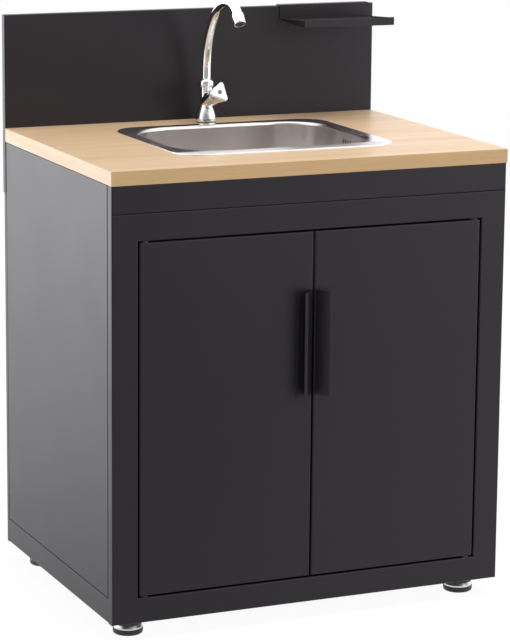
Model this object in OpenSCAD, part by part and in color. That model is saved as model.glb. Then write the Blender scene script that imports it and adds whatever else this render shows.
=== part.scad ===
// Outdoor kitchen module with a sink: a folded steel cabinet on four levelling feet, two inset
// doors, a wood-decor worktop with an inset bowl and a swan-neck tap, and a splashback that
// carries a hook-on shelf. The floor is z = 0, +X is to the right, +Y is to the back, and the
// origin is the middle of the module's footprint.

/* [Worktop] */
// Width of the worktop, left to right
worktop_w = 820; // [760:1:1000]
// Depth of the worktop, front to back
worktop_d = 600; // [560:1:700]
// Thickness of the worktop board
worktop_t = 28; // [20:1:38]
// Height of the worktop's top face above the floor
worktop_h = 900; // [860:1:940]
// How far the worktop stands past the steel body at the front and the sides
worktop_overhang = 1; // [0.5:0.5:8]
// Rounding of the worktop's long edges
worktop_edge_r = 1.5; // [0.5:0.5:4]

/* [Steel body] */
// Thickness of the folded sheet
sheet_t = 1.5; // [1:0.1:2]
// Outer radius of a folded edge
fold_r = 2.5; // [2:0.1:3]
// Depth of the edges folded back round the front frame and the fascia
return_d = 20; // [18:0.5:26]
// Width of the edges folded inwards on the sides, back panel and splashback
hem_w = 18; // [14:0.5:22]
// Height of the steel body's underside above the floor
body_lift = 35; // [32:1:50]
// Height of the fascia under the worktop
fascia_h = 53; // [50:1:70]
// Height of the base tray's lips
base_lip_h = 48.5; // [40:0.5:60]
// Open joint between the front frame's folded edge and the side panel
side_joint = 2.4; // [0.3:0.1:3]
// Depth of the back panel
back_panel_d = 14; // [10:0.5:15]

/* [Front frame] */
// Width of the frame's upright members
stile_w = 52; // [45:1:70]
// Height of the frame's lower member
bottom_rail_h = 49; // [45:1:70]
// Height of the frame's upper member
top_rail_h = 52; // [45:1:70]

/* [Doors] */
// Thickness of a door
door_t = 18; // [16:0.5:20]
// Gap round each door
door_gap = 3; // [3:0.1:4]
// Outer radius of the door's folded front edges
door_fold_r = 3; // [2.5:0.1:3.5]
// Hinge axis, measured in from the door's side edge
hinge_in = 12; // [11:0.5:16]
// Hinge axis, measured back from the door's front face
hinge_back = 8; // [7.5:0.1:8.5]
// Diameter of the hinge pin
pin_d = 8; // [5:0.5:8]
// Wall of the plastic bush round the hinge pin
bush_wall = 2; // [1.5:0.1:2]
// Running clearance between a pin and its bush, on the radius
run_fit = 0.05; // [0.02:0.01:0.09]
// How deep the hinge pin reaches into the door
pin_reach = 14; // [10:0.5:20]

/* [Handles] */
// Length of a handle
handle_len = 205; // [120:1:400]
// Height of the handle's middle above the floor
handle_z = 549; // [400:1:600]
// How far a handle stands out from the door
handle_reach = 25; // [20:0.5:32]
// How far a handle flares sideways over its door
handle_flare = 22; // [18:0.5:28]
// Thickness of the handle's sheet
handle_t = 1.6; // [1.2:0.1:2]
// Width of the handle's flange on the door
handle_flange_w = 28; // [24:1:36]
// Width of the handle's turned outer lip
handle_lip = 4.5; // [3:0.5:6]

/* [Splashback] */
// Height of the splashback above the worktop
splash_h = 228; // [150:1:300]
// How far the splashback reaches down below the worktop's top face
splash_drop = 132; // [110:1:150]
// Depth of the splashback's folded edges
splash_t = 15; // [12:0.5:20]

/* [Shelf] */
// Width of the hook-on shelf
shelf_w = 204; // [120:1:212]
// Distance from the shelf's right end to the splashback's right end
shelf_inset = 13; // [5:1:60]
// How far the shelf stands out in front of the splashback
shelf_d = 127; // [80:1:127]
// Height of the splashback's top edge above the shelf at its back
shelf_drop = 27; // [24:1:60]
// How much lower the shelf's front is than its back
shelf_fall = 6.5; // [0:0.5:10]
// Height of the shelf's front lip
shelf_lip = 14.5; // [8:0.5:20]
// Thickness of the shelf's sheet
shelf_t = 2; // [1.5:0.1:2.5]
// Length of the hook's leg behind the splashback
hook_leg = 20; // [14:1:30]
// Clearance of the hook round the splashback's top edge
hook_fit = 0.3; // [0.3:0.1:0.6]

/* [Sink] */
// Middle of the sink, to the right of the module's middle
sink_x = 10; // [-20:1:20]
// Width of the bowl's mouth
bowl_w = 412; // [340:1:440]
// Depth of the bowl's mouth, front to back
bowl_d = 329; // [280:1:360]
// Depth of the bowl below the worktop
bowl_h = 150; // [130:1:180]
// Corner radius of the bowl in plan
bowl_r = 92; // [60:1:110]
// Radius between the bowl's wall and its bottom
bowl_floor_r = 28; // [15:1:35]
// Thickness of the bowl's sheet
bowl_t = 1.2; // [0.8:0.1:1.5]
// Radius of the bend from the flange into the bowl
bowl_lip_r = 6.5; // [3:0.5:8]
// Width of the flange beside the bowl
flange_side = 24; // [20:1:30]
// Width of the flange in front of the bowl
flange_front = 41; // [36:1:60]
// Width of the flange behind the bowl
flange_back = 23.5; // [20:0.5:27]
// Corner radius of the flange
flange_r = 55; // [20:1:70]
// Height of the flange's top above the worktop
flange_rise = 2.6; // [2.4:0.1:3]
// Thickness of the seal under the flange
seal_t = 1.2; // [1:0.1:1.2]
// Width of the flange that bears on the worktop
flange_bearing = 12; // [9:0.5:14]
// Corner radius of the worktop's cut-out
cutout_r = 45; // [15:1:60]
// Width of one overflow slot
slot_w = 5; // [4:0.5:6]
// Height of an overflow slot
slot_h = 22; // [14:1:26]
// Distance between overflow slots
slot_pitch = 11; // [9:0.5:12]
// Number of overflow slots
slot_count = 4; // [3:1:5]
// Middle of the overflow, in front of the bowl's middle
overflow_front = 8; // [0:1:40]
// Middle of the overflow, below the worktop
overflow_down = 27; // [24:1:45]

/* [Waste and trap] */
// Diameter of the hole in the bowl's bottom
waste_hole_d = 90; // [80:1:95]
// Width of the waste's flange round that hole
waste_flange_w = 12; // [8:0.5:14]
// Depth of the waste's cup below the bowl
waste_h = 44; // [38:1:60]
// Outer diameter of the waste's tail
tail_d = 46; // [42:1:50]
// Outer diameter of the trap's pipes
pipe_d = 40; // [32:1:50]
// Wall of the plastic pipes and the trap
pipe_wall = 2.5; // [2:0.1:3]
// Outer diameter of the trap's bottle
bottle_d = 64; // [56:1:80]
// Length of the trap's bottle
bottle_h = 110; // [80:1:140]
// How far the trap's outlet lies below the worktop
outlet_drop = 290; // [280:1:310]
// Length of the outlet pipe behind the trap
outlet_len = 120; // [90:1:140]
// Outer diameter of the overflow's pipe
overflow_pipe_d = 22; // [18:1:26]
// Width of the service opening in the back panel
service_w = 240; // [160:1:300]
// Height of the service opening in the back panel
service_h = 150; // [120:1:200]

/* [Tap] */
// The tap's axis, to the right of the module's middle
tap_x = 6; // [-20:1:20]
// Distance from the tap's axis to the worktop's back edge
tap_back = 53; // [48:1:60]
// Gap between the tap's foot and the sink's flange
tap_gap = 14.4; // [8:0.2:40]
// Diameter of the tap's foot
tap_foot_d = 43; // [38:1:46]
// Height of the tap's bell-shaped foot
tap_bell_h = 34; // [26:1:40]
// Outer diameter of the tap's body above its foot
tap_body_d = 26; // [25:0.5:28]
// Height of the union nut's top above the worktop
union_top = 91; // [88:1:120]
// Height of the union nut
union_h = 21; // [20:1:30]
// Outer diameter of the union nut
union_d = 32; // [31:0.5:34]
// Outer diameter of the spout's tube
spout_d = 19; // [14:0.5:20]
// Wall of the spout's tube
spout_wall = 1.5; // [1:0.1:2]
// Straight length of the spout above the union nut
spout_rise = 15; // [10:0.5:60]
// Bend radius of the spout's rising stretch
arc_1_r = 172; // [100:1:180]
// Angle of the spout's rising stretch
arc_1_a = 43; // [25:1:55]
// Bend radius over the spout's top
arc_2_r = 96; // [60:1:130]
// Angle over the spout's top
arc_2_a = 58; // [35:1:75]
// Bend radius of the spout's falling stretch
arc_3_r = 37; // [28:1:140]
// Angle of the spout's falling stretch
arc_3_a = 44; // [20:1:50]
// Diameter of the aerator
aerator_d = 24; // [21.5:0.5:26]
// Length of the aerator
aerator_len = 18; // [16:1:28]
// Height of the headwork's axis above the worktop, where it meets the tap's axis
head_z = 42; // [40:1:50]
// How steeply the headwork points upwards, in degrees
head_tilt = 21.5; // [10:0.5:25]
// Distance from the tap's axis to the handle's face
head_reach = 78; // [70:1:90]
// Length of the handle
knob_len = 54; // [46:1:58]
// Distance from the handle's axis to the tip of a corner
knob_r = 22; // [19:0.5:26]
// Turn of the handle's corners about its axis, in degrees
knob_turn = 68; // [0:1:120]
// Diameter of the handle's back end
knob_back_d = 32; // [26:1:33]
// Diameter of the coloured cap on the handle
cap_d = 9; // [6:0.5:12]
// Outer diameter of the tap's threaded tail
tap_tail_d = 20.96; // [16:0.01:26.44]
// Length of the threaded tail below the worktop
tap_tail_len = 40; // [32:1:60]

/* [Feet] */
// Diameter of a foot
foot_d = 58; // [40:1:60]
// Distance from the body's sides to a foot's axis
foot_in = 54; // [45:1:80]
// Distance from the worktop's front and back edges to a foot's axis
foot_inset = 60; // [56:1:100]
// Height of the foot's black pad
pad_h = 11; // [8:0.5:12]
// Height of the bright ring on the pad
ring_h = 8.5; // [6:0.5:10]
// Diameter of the foot's stem
stem_d = 10; // [8:0.5:12]
// How far a foot can be screwed out
foot_travel = 20; // [10:1:25]

/* [Hidden] */
$fn = 64;
// Gap left between pieces of different bodies, and a small overshoot for cuts
rest_gap = 0.3;
over = 1;
// How far the flat parts of the pressed bowl reach into each other
lap = 0.3;

back_reach = splash_t + hook_fit + shelf_t;
front_reach = handle_reach - worktop_overhang;
y_front = (front_reach - worktop_d - back_reach) / 2;
y_back = y_front + worktop_d;
y_body = y_front + worktop_overhang;
y_side = y_body + return_d + side_joint;

z_under = worktop_h - worktop_t;
z_seam = z_under - fascia_h;
z_lip = body_lift + base_lip_h;
z_splash = worktop_h + splash_h;
z_splash_low = worktop_h - splash_drop;

body_w = worktop_w - 2 * worktop_overhang;
open_w = body_w - 2 * stile_w;
open_z0 = body_lift + bottom_rail_h;
open_z1 = z_seam - top_rail_h;

door_w = (open_w - 3 * door_gap) / 2;
door_z0 = open_z0 + door_gap;
door_h = open_z1 - door_gap - door_z0;
door_x = open_w / 2 - door_gap - door_w;
hinge_x = open_w / 2 - door_gap - hinge_in;
hinge_y = y_body + hinge_back;
bush_d = pin_d + 2 * run_fit + 2 * bush_wall;
bush_flange_t = door_gap - 2 * rest_gap;
liner_d = 9;
liner_gap = 0.1;
rivet_d = 4;

// The rail behind the worktop fits between the hems of the two side panels
rail_d = 20;
rail_gap = 0.2;
rail_w = body_w - 2 * hem_w - 2 * rail_gap;
rail_h = 50;

catch_w = 44;
catch_d = 22;
catch_h = 16;
catch_x = 34;
catch_tab_w = 2 * catch_x + catch_w;
catch_tab_d = 46;
strike_t = 1.2;
strike_h = 14;
strike_w = 36;
y_strike = y_body + door_t + strike_t;

tap_y = y_back - tap_back;
z_flange = worktop_h + flange_rise;
flange_edge_r = flange_rise - 0.2;
bowl_cy = tap_y - tap_foot_d / 2 - tap_gap - flange_back - bowl_d / 2;
flange_w = bowl_w + 2 * flange_side;
flange_d = bowl_d + flange_front + flange_back;
flange_y = bowl_cy + (flange_back - flange_front) / 2;
cutout_w = flange_w - 2 * flange_bearing;
cutout_d = flange_d - 2 * flange_bearing;
z_floor = worktop_h - bowl_h;
overflow_y = bowl_cy - overflow_front;
overflow_z = worktop_h - overflow_down;
bowl_side_x = sink_x + bowl_w / 2;

clip_w = 16;
clip_t = 2;
clip_len = 14;
clip_h = 22;

gasket_t = 3;
waste_wall = 1.5;
z_under_bowl = z_floor - bowl_t;
z_cup = z_under_bowl - waste_h;
tail_len = 26;
z_tail = z_cup - tail_len;
basket_wall = 1;
basket_d = waste_hole_d - 2 * waste_wall - 8;
z_port = z_under_bowl - waste_h / 2;
// The overflow's box fits in the worktop's cut-out above the board's underside. Its pipe comes down
// beside the bowl and turns towards the waste.
elbow_top_d = (cutout_w - bowl_w) / 2 - bowl_t - rest_gap;
elbow_d = overflow_pipe_d + 3;
elbow_h = slot_h + 10;
elbow_wall = 2;
pipe_x = bowl_side_x + bowl_t + elbow_d - 1 - overflow_pipe_d / 2;
overflow_turn = atan2(bowl_cy - overflow_y, pipe_x - sink_x);
pipe_run = norm([pipe_x - sink_x, overflow_y - bowl_cy]);
pipe_bend_r = 22;

nut_h = 20;
outlet_z = worktop_h - outlet_drop;
z_bottle = outlet_z + bottle_d / 4 + 6;
cup_z = z_bottle - bottle_h;
branch_len = 26;
y_branch = bowl_cy + bottle_d / 2 + branch_len;
socket_d = pipe_d + 1;
outlet_nut_d = pipe_d + 16;
outlet_nut_back = 14;
outlet_nut_front = 8;

// The tap's threaded shank is thicker down to its nut than the free tail below
tap_shank_d = tap_tail_d + 0.6;
tap_hole_d = tap_shank_d + 1.5;
tap_bore_d = 13;
tap_bore_rise = 10;
washer_t = 2;
back_nut_h = 10;
z_shank = z_under - washer_t - back_nut_h;
foot_gasket_t = 1.5;
z_bell = worktop_h + foot_gasket_t;
foot_rim_h = 3;
z_union = worktop_h + union_top;
collar_h = 7;
collar_d = spout_d + 4.5;
nut_lip_h = 3;
z_collar = z_union - nut_lip_h - rest_gap - collar_h;
plug_h = 10;
thread_d = collar_d + 2;
head_boss = 20;
bonnet_d = 18;
bonnet_end = head_reach - knob_len + 8;
spindle_d = 8;
spindle_start = head_boss + 2;
spindle_end = head_reach - 20;
cap_t = 1.4;
bends = [[arc_1_r, arc_1_a], [arc_2_r, arc_2_a], [arc_3_r, arc_3_a]];
bend_step = 6;
neck_tail = 6;
neck_sides = 24;
facet_gap = 0.04;

foot_xs = [-body_w / 2 + foot_in, body_w / 2 - foot_in];
foot_ys = [y_front + foot_inset, y_back - foot_inset];
collar_z = pad_h + ring_h + rest_gap;
foot_nut_h = 8;
stem_top = body_lift + sheet_t + foot_nut_h + foot_travel + 4;

screw_d = 4;
screw_head_d = 8;
screw_head_h = 2.4;
screw_grip = 12;
side_screw_x = body_w / 2 - hem_w / 2;
worktop_screw_ys = [for (s = [0.12, 0.5, 0.88]) y_side + s * (y_back - y_side)];
back_screw_zs = [for (s = [0.04, 0.5, 0.94]) z_lip + s * (z_splash_low - z_lip)];
splash_screw_z = z_under - rail_h / 2;
splash_screw_xs = [for (s = [-0.4, -0.13, 0.13, 0.4]) s * rail_w];

// Shared shapes

// Takes the corner at y = 0, z = 0 off an edge that runs along +X, leaving a round of radius r
module round_edge(length, r) {
    translate([-over, 0, 0])
        rotate([90, 0, 90])
            linear_extrude(length + 2 * over)
                difference() {
                    translate([-over, -over]) square(r + over);
                    translate([r, r]) circle(r);
                }
}

// The same round along +Y, at the corner x = 0, z = 0
module round_edge_y(length, r) {
    mirror([1, -1, 0]) round_edge(length, r);
}

// The rounds along all four edges of a face w x h that lies at z = 0
module round_face(w, h, r) {
    round_edge(w, r);
    translate([0, h, 0]) mirror([0, 1, 0]) round_edge(w, r);
    round_edge_y(h, r);
    translate([w, 0, 0]) mirror([1, 0, 0]) round_edge_y(h, r);
}

// Folded tray: its face w x h lies at z = 0 and its edges are folded up to z = d
module tray(w, h, d, r = fold_r) {
    difference() {
        cube([w, h, d]);
        translate([sheet_t, sheet_t, sheet_t]) cube([w - 2 * sheet_t, h - 2 * sheet_t, d]);
        round_face(w, h, r);
    }
}

// Folded tray whose edges also turn inwards at z = d, as hems of the given width
module hemmed_tray(w, h, d, hem, r = fold_r) {
    difference() {
        cube([w, h, d]);
        translate([sheet_t, sheet_t, sheet_t])
            cube([w - 2 * sheet_t, h - 2 * sheet_t, d - 2 * sheet_t]);
        translate([hem, hem, d - sheet_t - over]) cube([w - 2 * hem, h - 2 * hem, sheet_t + 2 * over]);
        round_face(w, h, r);
    }
}

// Stand a tray up, with its face to the front, to the left or to the back
module facing_front() {
    mirror([0, 1, 0]) rotate([90, 0, 0]) children();
}
module facing_left() {
    rotate([90, 0, 90]) children();
}
module facing_back() {
    rotate([90, 0, 0]) children();
}

// Flat rectangle with round corners, centred
module rounded_rect(w, d, r) {
    square([w - 2 * r, d], center = true);
    square([w, d - 2 * r], center = true);
    for (x = [-1, 1], y = [-1, 1])
        translate([x * (w / 2 - r), y * (d / 2 - r)]) circle(r);
}

// Flat strip of thickness t between two points, with round ends
module strip(a, b, t) {
    v = b - a;
    translate(a) rotate(atan2(v[1], v[0])) translate([0, -t / 2]) square([norm(v), t]);
    translate(a) circle(d = t);
    translate(b) circle(d = t);
}

// Carries a flat section, x outwards and y up, round a rectangle w x d with corners of radius r
module round_the_rim(w, d, r) {
    for (side = [0, 1])
        rotate(180 * side) {
            translate([w / 2, d / 2 - r, 0]) rotate([90, 0, 0]) linear_extrude(d - 2 * r) children();
            translate([-w / 2 + r, d / 2, 0]) rotate([90, 0, 90]) linear_extrude(w - 2 * r) children();
            translate([w / 2 - r, d / 2 - r, 0]) rotate_extrude(angle = 90) translate([r, 0]) children();
            translate([-w / 2 + r, d / 2 - r, 0])
                rotate(90) rotate_extrude(angle = 90) translate([r, 0]) children();
        }
}

// Upright tube from z0 to z1
module tube(d_out, d_in, z0, z1) {
    translate([0, 0, z0])
        difference() {
            cylinder(d = d_out, h = z1 - z0);
            translate([0, 0, -over]) cylinder(d = d_in, h = z1 - z0 + 2 * over);
        }
}

// Hexagonal nut of width af across its flats, with a round bore
module hex_nut(af, bore, z0, z1) {
    translate([0, 0, z0])
        difference() {
            cylinder(d = af / cos(30), h = z1 - z0, $fn = 6);
            translate([0, 0, -over]) cylinder(d = bore, h = z1 - z0 + 2 * over);
        }
}

// Pan-head screw that points along +Z, with the underside of its head at z = 0
module screw(length) {
    cylinder(d = screw_d, h = length);
    translate([0, 0, -screw_head_h]) cylinder(d = screw_head_d, h = screw_head_h);
}

// Clearance hole for that screw
module screw_hole(length) {
    translate([0, 0, -over]) cylinder(d = screw_d + 0.1, h = length + over);
}

// Steel body

module worktop_screw_places() {
    for (x = [-side_screw_x, side_screw_x], y = worktop_screw_ys)
        translate([x, y, z_under - sheet_t]) children();
}

module back_screw_places() {
    for (x = [-side_screw_x, side_screw_x], z = back_screw_zs)
        translate([x, y_back - sheet_t, z]) rotate([-90, 0, 0]) children();
}

module splash_screw_places() {
    for (x = splash_screw_xs)
        translate([x, y_back + sheet_t, splash_screw_z]) rotate([90, 0, 0]) children();
}

module worktop() {
    color("burlywood")
        difference() {
            translate([-worktop_w / 2, y_front, z_under]) cube([worktop_w, worktop_d, worktop_t]);
            translate([sink_x, flange_y, z_under - over])
                linear_extrude(worktop_t + 2 * over) rounded_rect(cutout_w, cutout_d, cutout_r);
            translate([tap_x, tap_y, z_under - over])
                cylinder(d = tap_hole_d, h = worktop_t + 2 * over);
            for (z = [0, 1])
                translate([0, 0, z_under + z * worktop_t]) mirror([0, 0, z]) {
                    translate([-worktop_w / 2, y_front, 0]) round_edge(worktop_w, worktop_edge_r);
                    for (m = [0, 1])
                        mirror([m, 0, 0])
                            translate([-worktop_w / 2, y_front, 0])
                                round_edge_y(worktop_d, worktop_edge_r);
                }
            worktop_screw_places() screw_hole(sheet_t + screw_grip);
        }
}

module fascia() {
    color("#2f2f33")
        translate([-body_w / 2, y_body, z_seam]) facing_front() tray(body_w, fascia_h, return_d);
}

module front_frame() {
    h = z_seam - body_lift;
    oh = open_z1 - open_z0;
    color("#2c2c30")
        difference() {
            translate([-body_w / 2, y_body, body_lift])
                facing_front()
                    difference() {
                        union() {
                            tray(body_w, h, return_d);
                            translate([stile_w - sheet_t, bottom_rail_h - sheet_t, sheet_t])
                                cube([open_w + 2 * sheet_t, oh + 2 * sheet_t, return_d - sheet_t]);
                            // Tab behind the upper member that carries the magnet catches
                            translate([body_w / 2 - catch_tab_w / 2, bottom_rail_h + oh, return_d - over])
                                cube([catch_tab_w, sheet_t, catch_tab_d - return_d + over]);
                        }
                        translate([stile_w, bottom_rail_h, -over])
                            cube([open_w, oh, return_d + 2 * over]);
                        // Rounds along the four folded edges of the door opening
                        translate([stile_w, bottom_rail_h, 0]) {
                            mirror([0, 1, 0]) round_edge(open_w, fold_r);
                            translate([0, oh, 0]) round_edge(open_w, fold_r);
                            mirror([1, 0, 0]) round_edge_y(oh, fold_r);
                            translate([open_w, 0, 0]) round_edge_y(oh, fold_r);
                        }
                    }
            // Holes of the hinge pins in the upper and lower members
            for (x = [-hinge_x, hinge_x], z = [open_z0 - sheet_t, open_z1])
                translate([x, hinge_y, z - over]) cylinder(d = pin_d + 2 * run_fit, h = sheet_t + 2 * over);
        }
}

module base_tray() {
    d = y_back - y_body - return_d;
    color("#2b2b2f")
        difference() {
            translate([-body_w / 2, y_body + return_d, body_lift]) tray(body_w, d, base_lip_h);
            for (x = foot_xs, y = foot_ys)
                translate([x, y, body_lift - over]) cylinder(d = stem_d + 1, h = sheet_t + 2 * over);
        }
}

module left_side() {
    color("#55555a")
        difference() {
            translate([-body_w / 2, y_side, z_lip])
                facing_left() hemmed_tray(y_back - y_side, z_under - z_lip, hem_w, hem_w);
            worktop_screw_places() screw_hole(sheet_t + screw_grip);
            back_screw_places() screw_hole(sheet_t + screw_grip);
        }
}

module right_side() {
    mirror([1, 0, 0]) left_side();
}

module back_panel() {
    h = z_splash_low - body_lift;
    color("#2b2b2f")
        difference() {
            translate([-body_w / 2, y_back + back_panel_d, body_lift])
                facing_back() hemmed_tray(body_w, h, back_panel_d, hem_w);
            translate([sink_x - service_w / 2, y_back - over, outlet_z - service_h / 2])
                cube([service_w, back_panel_d + 2 * over, service_h]);
            back_screw_places() screw_hole(sheet_t + screw_grip);
        }
}

module back_rail() {
    color("#2b2b2f")
        difference() {
            translate([-rail_w / 2, y_back, z_under - rail_h])
                facing_back() tray(rail_w, rail_h, rail_d);
            splash_screw_places() screw_hole(2 * sheet_t + over);
        }
}

module splashback() {
    color("#303034")
        difference() {
            translate([-worktop_w / 2, y_back, z_splash_low])
                facing_front() hemmed_tray(worktop_w, splash_h + splash_drop, splash_t, hem_w);
            splash_screw_places() screw_hole(2 * sheet_t + over);
        }
}

module worktop_screws() {
    color("silver") worktop_screw_places() screw(sheet_t + screw_grip);
}

module rear_screws() {
    color("silver") {
        back_screw_places() screw(2 * sheet_t + over);
        splash_screw_places() screw(2 * sheet_t + over);
    }
}

// Hook-on shelf: one strip of sheet folded over the splashback, with two end lips
module shelf() {
    y_rear = y_back + splash_t + hook_fit + shelf_t / 2;
    y_face = y_back - hook_fit - shelf_t / 2;
    y_edge = y_back - shelf_d + shelf_t / 2;
    z_hook = z_splash + hook_fit + shelf_t / 2;
    z_back = z_splash - shelf_drop;
    z_edge = z_back - shelf_fall;
    line = [
        [y_rear, z_hook - hook_leg], [y_rear, z_hook], [y_face, z_hook],
        [y_face, z_back], [y_edge, z_edge], [y_edge, z_edge + shelf_lip]
    ];
    x0 = worktop_w / 2 - shelf_inset - shelf_w;
    color("#2d2d31")
        translate([x0, 0, 0])
            rotate([90, 0, 90]) {
                linear_extrude(shelf_w)
                    for (i = [1 : len(line) - 1]) strip(line[i - 1], line[i], shelf_t);
                for (x = [0, shelf_w - shelf_t])
                    translate([0, 0, x]) linear_extrude(shelf_t) polygon([line[3], line[4], line[5]]);
            }
}

// Doors, drawn on the right and mirrored for the left

module door_skin() {
    color("#2e2e32")
        difference() {
            translate([door_x, y_body, door_z0])
                facing_front() tray(door_w, door_h, door_t, door_fold_r);
            translate([hinge_x, hinge_y, door_z0 - over])
                cylinder(d = bush_d + 0.1, h = door_h + 2 * over);
            handle_rivet_places() cylinder(d = rivet_d + 0.1, h = door_t, center = true);
        }
}

module door_liner() {
    in = sheet_t + liner_gap;
    color("#38383c")
        difference() {
            translate([door_x + in, y_body + door_t, door_z0 + in])
                facing_back() tray(door_w - 2 * in, door_h - 2 * in, liner_d);
            translate([hinge_x, hinge_y, door_z0 - over])
                cylinder(d = bush_d + 0.6, h = door_h + 2 * over);
        }
}

// Flanged bushes at the door's lower and upper edge
module door_bushes() {
    z_low = door_z0;
    z_high = door_z0 + door_h;
    color("#1c1c1e")
        translate([hinge_x, hinge_y, 0]) {
            bore = pin_d + 2 * run_fit;
            tube(bush_d, bore, z_low, z_low + pin_reach);
            tube(bush_d + 4, bore, z_low - bush_flange_t, z_low);
            tube(bush_d, bore, z_high - pin_reach, z_high);
            tube(bush_d + 4, bore, z_high, z_high + bush_flange_t);
        }
}

module handle_section() {
    fold = [door_x + door_fold_r + handle_t / 2, handle_t / 2];
    far = [door_x + handle_flare, handle_reach - handle_t / 2];
    strip(fold, [fold[0] + handle_flange_w, handle_t / 2], handle_t);
    strip(fold, far, handle_t);
    strip(far, [far[0] + handle_lip, far[1]], handle_t);
}

module handle_rivet_places() {
    x = door_x + door_fold_r + handle_flange_w - 5;
    for (s = [-0.4, 0.4])
        translate([x, y_body, handle_z + s * handle_len]) rotate([90, 0, 0]) children();
}

module door_handle() {
    color("#26262a")
        difference() {
            translate([0, y_body, handle_z - handle_len / 2])
                mirror([0, 1, 0]) linear_extrude(handle_len) handle_section();
            handle_rivet_places() cylinder(d = rivet_d + 0.1, h = door_t, center = true);
        }
}

module handle_rivets() {
    color("#26262a")
        handle_rivet_places() {
            translate([0, 0, -sheet_t]) cylinder(d = rivet_d, h = sheet_t + handle_t + 0.8);
            translate([0, 0, -sheet_t - 1.2]) cylinder(d = rivet_d + 3, h = 1.2);
            translate([0, 0, handle_t]) cylinder(d = rivet_d + 2, h = 0.8);
        }
}

module door_strike() {
    z1 = open_z1 - 5;
    color("silver")
        translate([catch_x - strike_w / 2, y_body + door_t, z1 - strike_h])
            cube([strike_w, strike_t, strike_h]);
}

module left_door() mirror([1, 0, 0]) door_skin();
module left_door_liner() mirror([1, 0, 0]) door_liner();
module left_handle() mirror([1, 0, 0]) door_handle();
module left_handle_rivets() mirror([1, 0, 0]) handle_rivets();
module left_door_bushes() mirror([1, 0, 0]) door_bushes();
module left_strike() mirror([1, 0, 0]) door_strike();
module right_door() door_skin();
module right_door_liner() door_liner();
module right_handle() door_handle();
module right_handle_rivets() handle_rivets();
module right_door_bushes() door_bushes();
module right_strike() door_strike();

// Hinge pins: each goes through the frame's folded edge and into the door's bush
module door_pins() {
    z0 = open_z0 - sheet_t;
    z1 = open_z1 + sheet_t;
    head = 3;
    color("silver")
        for (x = [-hinge_x, hinge_x])
            translate([x, hinge_y, 0]) {
                translate([0, 0, z0]) cylinder(d = pin_d, h = door_z0 + pin_reach - z0);
                translate([0, 0, z0 - head]) cylinder(d = pin_d + 5, h = head);
                translate([0, 0, door_z0 + door_h - pin_reach])
                    cylinder(d = pin_d, h = z1 - door_z0 - door_h + pin_reach);
                translate([0, 0, z1]) cylinder(d = pin_d + 5, h = head);
            }
}

module magnet_catches() {
    color("#1c1c1e")
        for (x = [-catch_x, catch_x])
            translate([x - catch_w / 2, y_strike + rest_gap, open_z1 - catch_h])
                cube([catch_w, catch_d, catch_h]);
}

// Sink

// Section of the bowl's wall, x = 0 at its inner face: lip bend, wall and floor bend
module bowl_section() {
    r = bowl_lip_r;
    f = bowl_floor_r;
    difference() {
        translate([r, z_flange - r]) circle(r);
        translate([r, z_flange - r]) circle(r - bowl_t);
        translate([r, z_flange - 2 * r - over]) square([r + over, 2 * r + 2 * over]);
        translate([-over, z_flange - 2 * r - over]) square([2 * r + 2 * over, r + over]);
    }
    translate([r, z_flange - bowl_t]) square([lap, bowl_t]);
    translate([0, z_floor + f]) square([bowl_t, z_flange - r - z_floor - f]);
    translate([-f - lap, z_floor - bowl_t]) square([lap, bowl_t]);
    difference() {
        translate([-f, z_floor + f]) circle(f + bowl_t);
        translate([-f, z_floor + f]) circle(f);
        translate([-2 * f - bowl_t - over, z_floor - bowl_t - over])
            square([f + bowl_t + over, 2 * f + 2 * bowl_t + 2 * over]);
        translate([-f - over, z_floor + f]) square([f + bowl_t + 2 * over, f + bowl_t + over]);
    }
}

// Section of the flange's turned-down outer edge, x = 0 at its outside
module flange_section() {
    r = flange_edge_r;
    translate([-r - lap, z_flange - bowl_t]) square([lap, bowl_t]);
    difference() {
        translate([-r, z_flange - r]) circle(r);
        translate([-r, z_flange - r]) circle(r - bowl_t);
        translate([-2 * r - over, z_flange - 2 * r - over]) square([r + over, 2 * r + 2 * over]);
        translate([-2 * r - over, z_flange - 2 * r - over]) square([2 * r + 2 * over, r + over]);
    }
}

module sink_bowl() {
    hole_w = bowl_w + 2 * bowl_lip_r;
    hole_d = bowl_d + 2 * bowl_lip_r;
    color("#b9bcc0")
        difference() {
            union() {
                translate([sink_x, bowl_cy, 0]) {
                    round_the_rim(bowl_w, bowl_d, bowl_r) bowl_section();
                    translate([0, 0, z_floor - bowl_t])
                        linear_extrude(bowl_t)
                            rounded_rect(bowl_w - 2 * bowl_floor_r, bowl_d - 2 * bowl_floor_r,
                                         bowl_r - bowl_floor_r);
                }
                translate([sink_x, flange_y, 0]) {
                    round_the_rim(flange_w, flange_d, flange_r) flange_section();
                    translate([0, 0, z_flange - bowl_t])
                        linear_extrude(bowl_t)
                            difference() {
                                rounded_rect(flange_w - 2 * flange_edge_r,
                                             flange_d - 2 * flange_edge_r,
                                             flange_r - flange_edge_r);
                                translate([0, bowl_cy - flange_y])
                                    rounded_rect(hole_w, hole_d, bowl_r + bowl_lip_r);
                            }
                }
            }
            translate([sink_x, bowl_cy, z_floor - bowl_t - over])
                cylinder(d = waste_hole_d, h = bowl_t + 2 * over);
            overflow_slots(bowl_t + 2 * over);
        }
}

// Upright slots in the bowl's right wall
module overflow_slots(depth) {
    first = -(slot_count - 1) / 2 * slot_pitch;
    for (i = [0 : slot_count - 1])
        translate([bowl_side_x - over, overflow_y + first + i * slot_pitch, overflow_z])
            rotate([90, 0, 90]) linear_extrude(depth) rounded_rect(slot_w, slot_h, slot_w / 2 - 0.01);
}

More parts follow.
